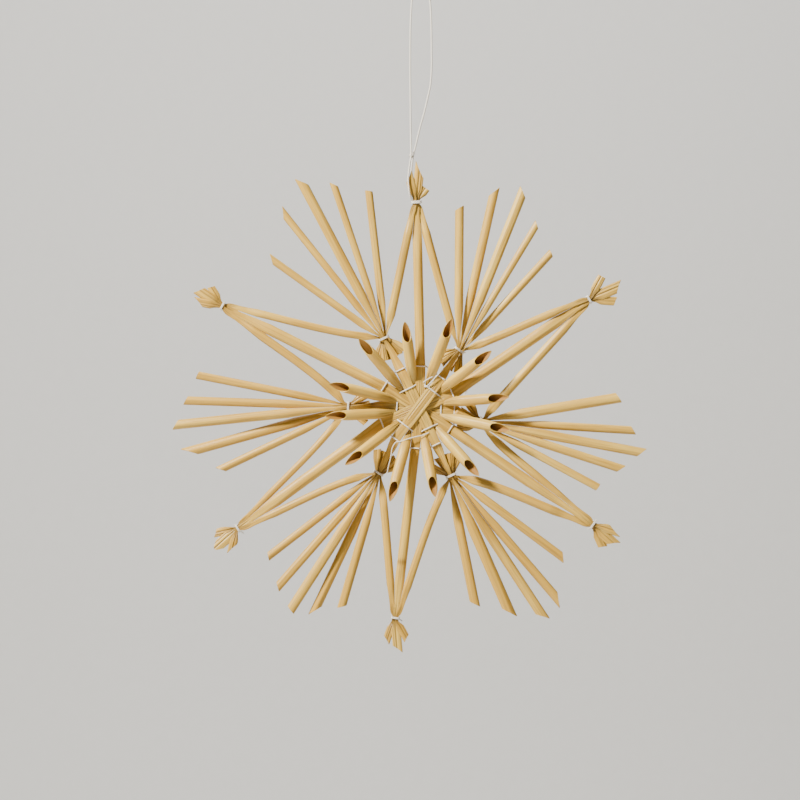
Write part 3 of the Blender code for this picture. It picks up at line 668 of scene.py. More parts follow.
# Grooves across the hub, as shares across and shades, and how far they run from its middle
HUB_GROOVES = ((-0.5, 0.8), (0.0, 1.0), (0.3, 0.7), (0.6, 0.6))
HUB_GROOVE_ASIDE = 0.1
HUB_GROOVE_DEPTH = 0.2 * MM
HUB_GROOVE_HALF_WIDTH = 0.2 * MM
HUB_GROOVE_RUN = (9.0, 17.0)
HUB_BROWN_REACH = 5.0 * MM
HUB_BROWN = 0.3

# Axis straws between the stubs of their fans, by shares of the stubs' length and their width
NECK_PLACE = 0.7
NECK_REACH = 0.55
NECK_PINCH = 0.5

# Tube straws where they come out between the flat straws: the distance from the hub's
# middle, the depth, the width and the thickness
TUBE_RISE = (
    (10.8 * MM, -0.5 * MM, 1.6 * MM, 0.7 * MM),
    (13.5 * MM, -1.8 * MM, 3.0 * MM, 1.8 * MM),
    (17.0 * MM, -3.5 * MM, 4.3 * MM, 3.4 * MM),
    (21.5 * MM, -5.4 * MM, 5.0 * MM, 4.8 * MM),
)
MOUTH_SHARE = 0.84

# Their sections from there to the cut, as shares of the way and of the diameter
MOUTH_SECTIONS = ((0.6, 1.0), (1.0, MOUTH_SHARE))

# Folds where they flatten, at this section from the mouth, by shares across
TUBE_FOLD_SECTION = 4
TUBE_FOLDS = (-0.5, 0.1, 0.6)
TUBE_FOLD_ASIDE = 0.2
TUBE_FOLD_INSIDE = 4.0 * MM
TUBE_FOLD_RUN = (5.0, 9.0)
# Painted shade where the tubes crease as they flatten: its reach and strength
TUBE_CREASE_REACH = 5.0 * MM
TUBE_CREASE_SHADE = 0.5

# Threads
TIE_PLY = 0.5 * MM
TIE_TURNS = 2.4
TIE_PITCH = 0.48 * MM
TIE_HUG = 1.02
TIE_SQUARENESS = 0.6
HANGING_TURNS = 2.25
HANGING_PITCH = TIE_PITCH * 1.3
LASHING = 0.68 * MM
TAIL = 0.5 * MM
TURN_STEPS = 16
THREAD_STEP = 0.28 * MM
THREAD_SIDES = 12
THREAD_SWELL = 1.06
THREAD_END = 0.6
CURVE_STEPS = 12
LEAST_RINGS = 4
FIRST_NORMAL = (0.3, 0.5, 0.8)
PLIES = 2
PLY_LENGTH = 2.4 * MM
PLY_SHARE = 0.2

# Knots, with the lengths of their two tails in millimetres
KNOT_STEPS = 18
KNOT_SPAN = 3.0
TIE_KNOT = 0.6 * MM
TIE_KNOT_BEHIND = TIE_PLY * 0.8
FIRST_TAIL = (3.5, 1.6)
LAST_TAIL = (1.5, 3.0)
HANGING_KNOT = 1.0 * MM
HANGING_KNOT_PLACE = (-4.3, -0.1, -79.8)
HANGING_KNOT_TILT = 0.6
HANGING_KNOT_THREAD = HANGING_THREAD * 0.8

# Where the outer lashing crosses the front of each straw at the hub, from the hub's middle
OUTER_LASHING = {
    "ne": 17.0 * MM, "ur": 17.7 * MM, "n": 19.6 * MM, "ul": 19.9 * MM, "nw": 19.1 * MM,
    "sw": 18.7 * MM, "ll": 18.1 * MM, "s": 18.8 * MM, "lr": 18.8 * MM, "se": 17.6 * MM,
}
INNER_LASHING_RADIUS = 10.3 * MM
HALF_SECTOR = math.pi / 6.0

# A lashing over a straw: how far it lies in front in threads, then the shares of the half
# width where it leaves the front and where it lies beside the straw
OUTER_OVER = (0.45, 0.8, 1.15)
INNER_OVER = (0.4, 0.75, 0.95)

# Loose ends of thread, as plan places and depths in millimetres
LOOSE_ENDS = {
    "upper_right": ((2.4, 10.0, -3.2), (3.7, 10.3, -4.2), (7.3, 14.0, -5.0), (11.2, 18.3, -5.6)),
    "upper": ((2.0, 12.0, -2.8), (3.1, 12.9, -3.8), (5.4, 14.2, -4.6), (7.6, 15.1, -3.8)),
    "lower_left": (
        (4.6, -11.4, -3.2), (1.7, -12.6, -3.7), (-3.8, -13.9, -4.6), (-8.7, -15.6, -4.8),
        (-10.8, -15.9, -4.6), (-12.5, -18.7, -4.4), (-13.2, -23.0, -4.2), (-14.2, -27.0, -4.0),
        (-15.1, -31.2, -3.8),
    ),
    "right": ((22.3, 8.2, -3.2), (21.3, 6.6, -3.4), (19.9, 4.2, -3.0)),
}

# Fans whose straws are a deeper gold
GOLDEN = ("l", "ll", "lr")

# Browner stretches, as the straw, the plan place in millimetres, the reach and the strength
BROWNER = (
    ("main_straw_n_s", (1.0, 23.0), 5.0 * MM, 0.45),
    ("main_straw_n_s", (-7.0, -72.0), 1.4 * MM, 0.8),
    ("axis_straw_l_r", (-22.5, 1.5), 2.6 * MM, 0.9),
    ("main_straw_nw_se", (-13.0, 8.0), 4.0 * MM, 0.35),
    ("main_straw_sw_ne", (-13.0, -5.0), 5.0 * MM, 0.3),
    ("axis_straw_ul_lr", (33.0, -55.0), 40.0 * MM, 0.35),
    ("side_straw_ul_n", (-6.0, 70.0), 12.0 * MM, 0.3),
)

# Camera, in front of the star at its own height
CAMERA_PLACE = (-0.0098, -1.2, -0.1942)
VIEW_WIDTH = 0.3744
SENSOR = 36.0

# The floor and backdrop from front to back, as depths and heights in metres
BACKDROP = (
    (-1.7, -0.80), (1.20, -0.80), (1.42, -0.77), (1.58, -0.68), (1.67, -0.50), (1.70, -0.1), (1.70, 1.6),
)
BACKDROP_SAMPLES = 90
BACKDROP_HALF_WIDTH = 2.6

# Lights, as the place, the target, the size in metres, the power in watts and the colour
LIGHTS = {
    "key_light": ((-0.85, -0.75, 0.70), (0.0, 0.0, HUB_Z), 0.22, 64.0, (1.0, 0.95, 0.86)),
    "fill_light": ((1.1, -1.1, 0.0), (0.0, 0.0, HUB_Z), 1.0, 1.6, (0.95, 0.97, 1.0)),
    "backdrop_light": ((0.0, 0.5, 0.9), (0.0, 1.7, -0.2), 1.2, 16.0, (1.0, 0.98, 0.95)),
}
WORLD_COLOUR = (1.0, 0.97, 0.93, 1.0)
WORLD_STRENGTH = 0.13


def between(marks, values, samples):
    """Values read between marks on a smooth curve that never overshoots them."""
    steps = np.diff(marks)
    slopes = np.diff(values) / steps
    same_way = slopes[:-1] * slopes[1:] > 0.0
    total = np.where(same_way, slopes[:-1] + slopes[1:], 1.0)
    inner = np.where(same_way, 2.0 * slopes[:-1] * slopes[1:] / total, 0.0)
    slants = np.concatenate(([slopes[0]], inner, [slopes[-1]]))
    cell = np.clip(np.searchsorted(marks, samples, side="right") - 1, 0, len(steps) - 1)
    share = (samples - marks[cell]) / steps[cell]
    rest = 1.0 - share
    start = values[cell] * (1.0 + 2.0 * share) + slants[cell] * steps[cell] * share
    end = values[cell + 1] * (1.0 + 2.0 * rest) - slants[cell + 1] * steps[cell] * rest
    return start * rest ** 2 + end * share ** 2


def close_marks(marks):
    """Marks along a straw, fine near every station and coarser in the long clear runs."""
    samples = [marks[0]]
    for start, end in zip(marks, marks[1:]):
        place = start
        while place < end - FINE_STEP / 2.0:
            nearest = min(place - start, end - place) / FINE_STRETCH
            place += blend(FINE_STEP, COARSE_STEP, smooth(nearest))
            samples.append(min(place, end))
        samples[-1] = end
    return np.array(samples)


class Cut(NamedTuple):
    """A straw's end: its left corner's and its back's lead, its point, its hollow, its tip."""
    lead: float = 0.0
    slant: float = 0.0
    point: float = 2.0
    bore: float = 0.0
    peak: float = 0.0


class Groove(NamedTuple):
    """A groove along the front of a straw: its share across, run, depth, half width and shade."""
    across: float
    start: float
    end: float
    depth: float
    half_width: float
    shade: float


class Line:
    """A straw's line, read closely: its centres, half widths and half depths."""

    def __init__(self, stations):
        places = np.array([in_space(station.plan, station.depth) for station in stations])
        self.stations = lengths_along(places)
        self.along = close_marks(self.stations)
        columns = [between(self.stations, places[:, axis], self.along) for axis in range(3)]
        self.centre = np.stack(columns, axis=1)
        widths = np.array([station.half_width for station in stations])
        depths = np.array([station.half_depth for station in stations])
        self.half_width = between(self.stations, widths, self.along)
        self.half_depth = between(self.stations, depths, self.along)
        self.browning = np.zeros(len(self.along))
        # Painted shade along the straw, darker near its creases at the ties
        self.painted_shade = np.zeros(len(self.along))

    def nearest(self, plan):
        """The sample that is nearest to a plan place."""
        return int(np.argmin(np.hypot(
            self.centre[:, 0] - HUB_X - plan[0], self.centre[:, 2] - HUB_Z - plan[1],
        )))

    def directions(self):
        """The unit tangent, the unit across, to the left, and the unit back at every place."""
        tangent = np.gradient(self.centre, self.along, axis=0)
        tangent /= np.linalg.norm(tangent, axis=1)[:, None]
        across = np.stack((-tangent[:, 2], np.zeros(len(tangent)), tangent[:, 0]), axis=1)
        across /= np.linalg.norm(across, axis=1)[:, None]
        back = np.cross(tangent, across)
        back *= np.sign(back[:, 1])[:, None]
        return tangent, across, back

    def swell(self, name, straws):
        """Lets the straw swell until it touches its neighbours."""
        full = straws.widths[name] / 2.0
        for i, centre in enumerate(self.centre):
            if self.half_width[i] < full:
                room = straws.room(name, np.array((centre[0] - HUB_X, centre[2] - HUB_Z))) + TOUCH
                self.half_width[i] = max(self.half_width[i], min(room, full))

    def shoulder(self, mark, inward, outward):
        """Bulges the straw outward just inside a tie, where the thread squeezes it out."""
        distance = np.clip((self.along - mark) * inward / SHOULDER_REACH, 0.0, None)
        bulge = SHOULDER * distance * np.exp(1.0 - distance)
        self.centre[:, 0] += outward[0] * bulge
        self.centre[:, 2] += outward[1] * bulge
        self.half_width += bulge * SHOULDER_SWELL

    def pinch(self, mark, reach, share):
        """Narrows the straw near one mark along it."""
        self.half_width *= 1.0 - share * self.near(mark, reach)

    def near(self, mark, reach):
        """How near each place is to a mark: 1 at the mark, and less with the distance."""
        return np.exp(-((self.along - mark) / reach) ** 2)

    def brown(self, mark, reach, strength):
        """Browner straw near one mark along it."""
        self.browning = np.maximum(self.browning, strength * self.near(mark, reach))

    def paint_crease_shade(self, mark, reach=CREASE_REACH, strength=1.0):
        """Painted shade near one mark along the straw, where it is creased."""
        self.painted_shade = np.maximum(self.painted_shade, strength * self.near(mark, reach))


def cut_offsets(cut, angles, outward):
    """How far the cut stands out along the straw at each angle around it."""
    offsets = -cut.peak * np.abs(np.cos(angles)) ** BEVEL_POINT
    reach = math.hypot(cut.lead, cut.slant)
    if reach == 0.0:
        return offsets
    tip = math.atan2(cut.slant, cut.lead * outward)
    from_tip = (angles - tip + math.pi) % (2.0 * math.pi) - math.pi
    return offsets + reach * (0.5 - np.abs(np.sin(from_tip / 2.0)) ** cut.point)


def flatness(line, place):
    """How flat the straw is at a place: 0 where it is round, 1 where it is a ribbon."""
    return 1.0 - min(line.half_depth[place] / line.half_width[place], 1.0)


def straw_rings(line, sides, cuts, grooves, draw):
    """The rings of points around a hollow straw, its grain, and its tone with its painted shade."""
    angles = 2.0 * math.pi * (np.arange(sides) + 0.5) / sides
    side = np.cos(angles)
    rear = np.sin(angles)
    tangent, across, back = line.directions()
    length = line.along[-1]
    facets = 1.0 + sum(
        draw.uniform(*FACET_DEPTH) * np.cos(count * angles + draw.uniform(0.0, 6.3)) for count in FACETS
    )
    start_offsets = cut_offsets(cuts[0], angles, -1.0)
    end_offsets = cut_offsets(cuts[1], angles, 1.0)
    start_run = max(CUT_RUN * np.max(np.abs(start_offsets)), FINE_STEP)
    end_run = max(CUT_RUN * np.max(np.abs(end_offsets)), FINE_STEP)

    def groove_here(place):
        hollow = np.zeros(sides)
        shade = np.zeros(sides)
        along = line.along[place]
        for groove in grooves:
            if groove.start <= along <= groove.end:
                ease = smooth(min(along - groove.start, groove.end - along) / GROOVE_EASE)
                off = (side - groove.across) * line.half_width[place] / groove.half_width
                here = ease * np.exp(-off ** 2) * (rear < 0.0)
                hollow += groove.depth * here
                shade = np.maximum(shade, groove.shade * here)
        return hollow, shade

    def ring(place, inset):
        half_width = max(line.half_width[place] - inset, line.half_width[place] * LEAST_INSIDE)
        half_depth = max(line.half_depth[place] - inset, line.half_depth[place] * LEAST_INSIDE)
        along = line.along[place]
        hollow, shade = groove_here(place)
        start_share = max(1.0 - along / start_run, 0.0)
        end_share = max(1.0 - (length - along) / end_run, 0.0)
        shift = end_offsets * end_share - start_offsets * start_share
        return (
            line.centre[place]
            + across[place] * (half_width * side * facets)[:, None]
            + back[place] * (half_depth * rear * facets + np.minimum(hollow, half_depth))[:, None]
            + tangent[place] * shift[:, None]
        )

    radius = np.max(line.half_width) / MM
    # Painted shade towards the edges of flattened straws
    edges = np.clip((np.abs(side) - EDGE_START) / EDGE_RUN, 0.0, 1.0) ** 2 * EDGE_SHADE
    last = len(line.along) - 1
    start_bore = [i for i in range(last) if line.along[i] <= cuts[0].bore]
    end_bore = [i for i in range(last, 0, -1) if length - line.along[i] <= cuts[1].bore]
    order = [(i, WALL, RIM_TONE if i == 0 else 1.0) for i in reversed(start_bore)]
    order += [(i, 0.0, 0.0) for i in range(last + 1)]
    order += [(i, WALL, RIM_TONE if i == last else 1.0) for i in end_bore]
    rings = np.array([ring(place, inset) for place, inset, inside in order])
    grain = np.array([
        np.stack((side * radius, rear * radius, np.full(sides, line.along[place] / MM)), axis=1)
        for place, inset, inside in order
    ])
    # Tone and shade: browning, the inside, then painted shade near creases, in grooves, at flat edges and on
    # the back
    tone_and_shade = np.array([
        np.stack((
            np.full(sides, line.browning[place]),
            np.full(sides, inside),
            np.maximum.reduce((
                np.full(sides, line.painted_shade[place]), groove_here(place)[1],
                edges * flatness(line, place), rear * REAR_SHADE,
            )),
        ), axis=1)
        for place, inset, inside in order
    ])
    return rings, grain, tone_and_shade


def add_object(name, data):
    """A new object in the scene."""
    made = bpy.data.objects.new(name, data)
    bpy.context.scene.collection.objects.link(made)
    return made


def add_skin(name, rings, grain, tone_and_shade, finish):
    """A closed mesh through rings of points that turn clockwise about their way along."""
    count, sides = rings.shape[:2]
    corner = np.arange(count * sides).reshape(count, sides)
    after = np.roll(corner, -1, axis=1)
    quads = np.stack((corner[:-1], corner[1:], after[1:], after[:-1]), axis=-1).reshape(-1, 4)
    faces = quads.tolist() + [corner[0].tolist(), corner[-1][::-1].tolist()]
    points = rings.reshape(-1, 3)
    mesh = bpy.data.meshes.new(name)
    mesh.from_pydata(points.tolist(), [], faces)
    for label, values in (("grain", grain), ("tone_and_shade", tone_and_shade)):
        attribute = mesh.attributes.new(label, "FLOAT_VECTOR", "POINT")
        attribute.data.foreach_set("vector", values.astype(np.float32).ravel())
    mesh.shade_smooth()
    mesh.set_sharp_from_angle(angle=math.radians(SHARP_ANGLE))
    mesh.materials.append(finish)
    return add_object(name, mesh)


def ride(piece, node=None):
    """The piece moves with the star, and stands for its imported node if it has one."""
    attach(piece, "root")
    if node:
        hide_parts(node)


def add_straw(name, line, sides, cuts, grooves, finish):
    draw = random.Random(name)
    grain_offset = draw.uniform(0.0, GRAIN_SHIFT)
    for browner, plan, reach, strength in BROWNER:
        if browner == name:
            line.brown(line.along[line.nearest(np.array(plan) * MM)], reach, strength)
    rings, grain, tone_and_shade = straw_rings(line, sides, cuts, grooves, draw)
    grain[:, :, 2] += grain_offset
    ride(add_skin(name + "_skin", rings, grain, tone_and_shade, finish), name)


def shape_end(stations, first, shapes):
    """Shapes the flat end past a tie, at the start or at the end of a straw's stations."""
    order = stations if first else stations[::-1]
    tip = order[0]
    tie = order[1]
    end = [
        Station(blend(tip.plan, tie.plan, share), tip.depth, tip.half_width * width, depth)
        for share, width, depth in shapes
    ]
    order = end + order[1:]
    return order if first else order[::-1]


# Flat ends from the tip to the tie, as shares of their length and width, and their half depth
STUB_SHAPES = ((0.0, 0.82, STUB_DEPTH), (0.5, 0.6, STUB_DEPTH))
FINGER_SHAPES = (
    (0.0, 0.86, FINGER_DEPTH * 0.8), (0.38, 0.96, FINGER_DEPTH), (0.72, 0.64, FINGER_DEPTH * 0.7),
)


def finger_cut(finger):
    """A finger's cut, which comes to a peak if the finger is wide and cut straight."""
    peak = finger.width * PEAK_SHARE if finger.lead == 0.0 and finger.width > PEAK_WIDTH else 0.0
    return Cut(finger.lead, 0.0, BEVEL_POINT, SHORT_BORE, peak)


def fold(mark, inward, draw):
    """Folds in the front of a straw past one of its ties, out to the straw's end."""
    run = sorted((mark + inward * FOLD_RUN, mark - inward * PAST_END))
    across = draw.uniform(-FOLD_ASIDE, FOLD_ASIDE)
    beside = across + draw.choice((-FOLD_SPACING, FOLD_SPACING))
    return [Groove(across, *run, *DEEP_FOLD), Groove(beside, *run, *SHALLOW_FOLD)]


# Straws of the flat star
def stub_cut(width, draw):
    """A stub's nearly straight cut."""
    return Cut(draw.uniform(-1.0, 1.0) * width * STUB_BEVEL, 0.0, BEVEL_POINT, SHORT_BORE)


def free_cut(straw):
    """A fan straw's slanting outer cut."""
    return Cut(straw.lead, straw.width * FRONT_LIP, BEVEL_POINT, BORE)


def add_fan_straw(name, straw, straws, sections, finish):
    draw = random.Random(name + "_folds")
    line = Line(shape_end(list(sections[name]), True, STUB_SHAPES))
    line.swell(name, straws)
    tie_mark = line.stations[len(STUB_SHAPES)]
    line.paint_crease_shade(tie_mark)
    cuts = (stub_cut(straw.width, draw), free_cut(straw))
    add_straw(name, line, STRAW_SIDES, cuts, fold(tie_mark, 1.0, draw), finish)


def add_side_straw(side, straws, sections, finish):
    name = side_name(side)
    draw = random.Random(name + "_folds")
    stations = shape_end(list(sections[name]), True, STUB_SHAPES)
    stations = shape_end(stations, False, FINGER_SHAPES)
    line = Line(stations)
    line.swell(name, straws)
    point = straws.ties[side.point]
    seat = point.seats[name]
    outward = (seat.near - point.centre) @ point.across * point.across
    outward /= np.linalg.norm(outward)
    fan_mark = line.stations[len(STUB_SHAPES)]
    point_mark = line.stations[-1 - len(FINGER_SHAPES)]
    line.shoulder(line.stations[-2 - len(FINGER_SHAPES)], -1.0, outward)
    line.paint_crease_shade(fan_mark)
    line.paint_crease_shade(point_mark)
    grooves = fold(fan_mark, 1.0, draw) + fold(point_mark, -1.0, draw)
    cuts = (stub_cut(side.width, draw), finger_cut(FINGERS[side.point][-1 - seat.place]))
    add_straw(name, line, STRAW_SIDES, cuts, grooves, finish)


def through_line(pair, straws, sections):
    """A through straw's line, thicker at the hub than its flat solid."""
    name = through_name(pair)
    stations = list(sections[name])
    for i, station in enumerate(stations):
        if np.linalg.norm(station.plan) < HUB_MARK_RADIUS + MM:
            stations[i] = station._replace(half_depth=HUB_THICKNESS / 2.0)
    if pair[0] in POINTS:
        stations = shape_end(shape_end(stations, True, FINGER_SHAPES), False, FINGER_SHAPES)
    line = Line(stations)
    line.swell(name, straws)
    return line


def add_through_straw(pair, line, finish):
    name = through_name(pair)
    draw = random.Random(name + "_folds")
    middle = line.along[line.nearest((0.0, 0.0))]
    grooves = [
        Groove(
            across + draw.uniform(-HUB_GROOVE_ASIDE, HUB_GROOVE_ASIDE),
            middle - draw.uniform(*HUB_GROOVE_RUN) * MM, middle + draw.uniform(*HUB_GROOVE_RUN) * MM,
            HUB_GROOVE_DEPTH, HUB_GROOVE_HALF_WIDTH, shade,
        )
        for across, shade in HUB_GROOVES
    ]
    cuts = []
    if pair[0] in POINTS:
        marks = (line.stations[len(FINGER_SHAPES)], line.stations[-1 - len(FINGER_SHAPES)])
        for arm, mark, inward in zip(pair, marks, (1.0, -1.0)):
            line.shoulder(mark, inward, (0.0, 0.0))
            line.paint_crease_shade(mark)
            grooves += fold(mark, inward, draw)
            cuts.append(finger_cut(FINGERS[arm][1]))
    else:
        for arm in pair:
            straw = FAN_STRAWS[arm][axis_place(arm)]
            tie = line.along[line.nearest(tie_place(FANS[arm]))]
            between_stubs = tie + math.copysign(STUB_LENGTH * NECK_PLACE, middle - tie)
            line.pinch(between_stubs, STUB_LENGTH * NECK_REACH, NECK_PINCH)
            line.paint_crease_shade(tie)
            cuts.append(free_cut(straw))
    for edge in (-HUB_MARK_RADIUS, HUB_MARK_RADIUS):
        line.brown(middle + edge, HUB_BROWN_REACH, HUB_BROWN)
    add_straw(name, line, HUB_STRAW_SIDES, cuts, grooves, finish)


# Tube straws
def tube_half(key, level):
    """One half of a tube straw, from behind the hub to its open mouth."""
    mouth = MOUTHS[key]
    leaves = [ARMS[name].leaves for name in mouth.between]
    opening = turn_between(*leaves)
    slope = math.sin(math.radians(opening / 2.0))
    lean = math.radians(TUBE_LEAN)
    radius = TUBE_DIAMETER / 2.0
    beside = HUB_PINCH_WIDTH / 2.0 + GAP
    leaves_level = max(TUBE_LEVEL_RADIUS, (TUBE_NECK / 2.0 + beside) / slope)
    in_front = leaves_level + TUBE_RISE_LENGTH
    way = heading(leaves[0] + opening / 2.0)
    front_place = way * in_front
    tip_place = heading(mouth.angle) * mouth.reach
    outward = (tip_place - front_place) / np.linalg.norm(tip_place - front_place)

    def place_at(distance):
        return way * distance if distance < in_front else front_place + outward * (distance - in_front)

    back_lip = radius / math.tan(math.radians(TUBE_CUT))
    run = np.linalg.norm(tip_place - front_place)
    cut = in_front + run - radius * math.sin(lean) - back_lip * math.cos(lean)
    cut_depth = -cut * math.tan(lean)
    stations = [Station(way * HUB_WIDE_RADIUS, level, TUBE_FLAT_WIDTH / 2.0, FLAT_THICKNESS / 2.0)]
    for distance, depth, width, thickness in TUBE_RISE:
        stations.append(Station(place_at(distance), depth, width / 2.0, thickness / 2.0))
    start, start_depth = TUBE_RISE[-1][:2]
    for share, size in MOUTH_SECTIONS:
        distance = blend(start, cut, share)
        depth = blend(start_depth, cut_depth, share)
        stations.append(Station(place_at(distance), depth, radius * size, radius))
    return stations


def add_tube_straw(number, pair, finish):
    level = (number + 0.5) * LEVEL_PITCH
    line = Line(tube_half(pair[0], level)[::-1] + tube_half(pair[1], level))
    name = f"tube_straw_{pair[0]}_{pair[1]}"
    draw = random.Random(name + "_folds")
    grooves = []
    for inward, section in ((1.0, TUBE_FOLD_SECTION), (-1.0, -1 - TUBE_FOLD_SECTION)):
        mark = line.stations[section]
        line.paint_crease_shade(mark, TUBE_CREASE_REACH, TUBE_CREASE_SHADE)
        for across in TUBE_FOLDS:
            outer = mark - inward * draw.uniform(*TUBE_FOLD_RUN) * MM
            run = sorted((mark + inward * TUBE_FOLD_INSIDE, outer))
            aside = draw.uniform(-TUBE_FOLD_ASIDE, TUBE_FOLD_ASIDE)
            grooves.append(Groove(across + aside, *run, *TUBE_FOLD))
    back_lip = TUBE_DIAMETER / math.tan(math.radians(TUBE_CUT))
    cut = Cut(0.0, back_lip, QUILL_POINT, TUBE_BORE)
    add_straw(name, line, TUBE_SIDES, (cut, cut), grooves, finish)


# Threads
def close_route(route):
    """Places at even steps along a smooth curve through a route."""
    curve = smooth_curve([Vector(place) for place in route], CURVE_STEPS)
    fine = np.array([tuple(place) for place in curve])
    marks = lengths_along(fine)
    samples = np.linspace(0.0, marks[-1], max(int(marks[-1] / THREAD_STEP), LEAST_RINGS))
    return np.stack([np.interp(samples, marks, fine[:, axis]) for axis in range(3)], axis=1)


def carried_frame(path):
    """Tangents, normals and binormals carried along a path without twisting."""
    tangent = np.gradient(path, axis=0)
    tangent /= np.linalg.norm(tangent, axis=1)[:, None]
    normal = np.cross(tangent[0], FIRST_NORMAL)
    normals = []
    for way in tangent:
        normal = normal - way * (normal @ way)
        normal = normal / np.linalg.norm(normal)
        normals.append(normal)
    normals = np.array(normals)
    return tangent, normals, np.cross(normals, tangent)


def add_twine(name, route, diameter, finish):
    """A thread laid up of plies that turn about each other along its route."""
    path = close_route(route)
    tangent, normal, side = carried_frame(path)
    marks = lengths_along(path)
    angles = 2.0 * math.pi * np.arange(THREAD_SIDES) / THREAD_SIDES
    turn = 2.0 * math.pi * marks / (PLY_LENGTH * diameter / HANGING_THREAD)
    spin = angles[None, :] - turn[:, None]
    lobes = 1.0 - PLY_SHARE * (0.5 - 0.5 * np.cos(PLIES * spin))
    radius = diameter / 2.0 * lobes * THREAD_SWELL
    radius[0] *= THREAD_END
    radius[-1] *= THREAD_END
    rings = (
        path[:, None, :]
        + normal[:, None, :] * (radius * np.cos(angles))[:, :, None]
        + side[:, None, :] * (radius * np.sin(angles))[:, :, None]
    )
    lengths = np.repeat(marks[:, None] / MM, THREAD_SIDES, axis=1)
    grain = np.stack((np.cos(spin), np.sin(spin), lengths), axis=2)
    tone_and_shade = np.zeros_like(grain)
    tone_and_shade[:, :, 0] = lobes
    return add_skin(name, rings, grain, tone_and_shade, finish)


def knot_route(place, size, tilt):
    """A small overhand knot about a place."""
    route = []
    for step in range(KNOT_STEPS + 1):
        turn = 2.0 * math.pi * step / KNOT_STEPS
        x = math.sin(turn) + 2.0 * math.sin(2.0 * turn)
        z = math.cos(turn) - 2.0 * math.cos(2.0 * turn)
        y = -math.sin(3.0 * turn)
        turned = Vector((x * math.cos(tilt) - z * math.sin(tilt), y, x * math.sin(tilt) + z * math.cos(tilt)))
        route.append(Vector(place) + turned * size / KNOT_SPAN)
    return route


def tie_route(tie, turns, diameter, pitch):
    """A route wound round a tie, starting behind it and hugging its straws."""
    route = []
    for step in range(int(turns * TURN_STEPS) + 1):
        turn = step / TURN_STEPS
        angle = math.pi / 2.0 + 2.0 * math.pi * turn
        side = math.copysign(abs(math.cos(angle)) ** TIE_SQUARENESS, math.cos(angle))
        depth = math.copysign(abs(math.sin(angle)) ** TIE_SQUARENESS, math.sin(angle))
        plan = tie.centre + tie.spread * (turn - turns / 2.0) * pitch
        plan = plan + tie.across * side * (tie.widest * TIE_HUG + diameter / 2.0)
        route.append(in_space(plan, depth * (tie.deepest * TIE_HUG + diameter / 2.0)))
    return route


def add_tie(name, tie, finish):
    """A tie of white thread with one knot behind it."""
    route = tie_route(tie, TIE_TURNS, TIE_PLY, TIE_PITCH)
    ride(add_twine(name + "_thread", route, TIE_PLY, finish), name)
    draw = random.Random(name)
    behind = in_space(tie.centre, tie.deepest * TIE_HUG + TIE_KNOT_BEHIND)
    knot = knot_route(behind, TIE_KNOT, draw.uniform(0.0, 6.0))
    away = Vector((draw.uniform(-1.0, 1.0), 0.0, draw.uniform(-1.0, 1.0))).normalized() * MM
    first = [knot[0] + away * length for length in FIRST_TAIL]
    last = [knot[-1] - away * length for length in LAST_TAIL]
    ride(add_twine(name + "_knot", first + knot + last, TAIL, finish))


def seen_front(line, plan):
    """A straw's half width, its middle depth and its front's depth at a plan place."""
    i = line.nearest(plan)
    return line.half_width[i], line.centre[i, 1], line.centre[i, 1] - line.half_depth[i]


def over_straw(name, line, radius, behind, over_shares):
    """A thread's way over the front of a straw at the hub, from beside it to beside it."""
    lift, edge, foot = over_shares
    place = heading(ARMS[name].leaves) * radius
    across = heading(ARMS[name].leaves + 90.0)
    half_width, middle, front = seen_front(line, place)
    over = front - LASHING * lift
    beside = middle + behind
    return [
        in_space(place + across * half_width * share, depth)
        for share, depth in ((-foot, beside), (-edge, over), (0.0, over), (edge, over), (foot, beside))
    ]


def outer_lashing(lines):
    """A thread over each straw at the hub and behind the tube straws between them."""
    route = []
    for name in sorted(OUTER_LASHING, key=lambda name: ARMS[name].leaves):
        route += over_straw(name, lines[name], OUTER_LASHING[name], LASHING, OUTER_OVER)
    return route + [route[0]]


def inner_lashing(lines):
    """A thread over each axis straw at the hub and behind each main straw."""
    route = []
    for name in sorted(ARMS, key=lambda name: ARMS[name].leaves):
        if name in POINTS:
            place = heading(ARMS[name].leaves) * INNER_LASHING_RADIUS
            middle = seen_front(lines[name], place)[1]
            route.append(in_space(place / math.cos(HALF_SECTOR), middle + HUB_THICKNESS + LASHING))
        else:
            route += over_straw(name, lines[name], INNER_LASHING_RADIUS, 0.0, INNER_OVER)
    return route + [route[0]]


# Shader sums
class Value:
    """A shader socket that takes part in Python sums."""

    def __init__(self, finish, socket):
        self.finish = finish
        self.socket = socket

    def sum(self, operation, first, second):
        return self.finish.node("ShaderNodeMath", {"operation": operation}, {0: first, 1: second})

    def __add__(self, other):
        return self.sum("ADD", self, other)

    __radd__ = __add__

    def __mul__(self, other):
        return self.sum("MULTIPLY", self, other)

    __rmul__ = __mul__


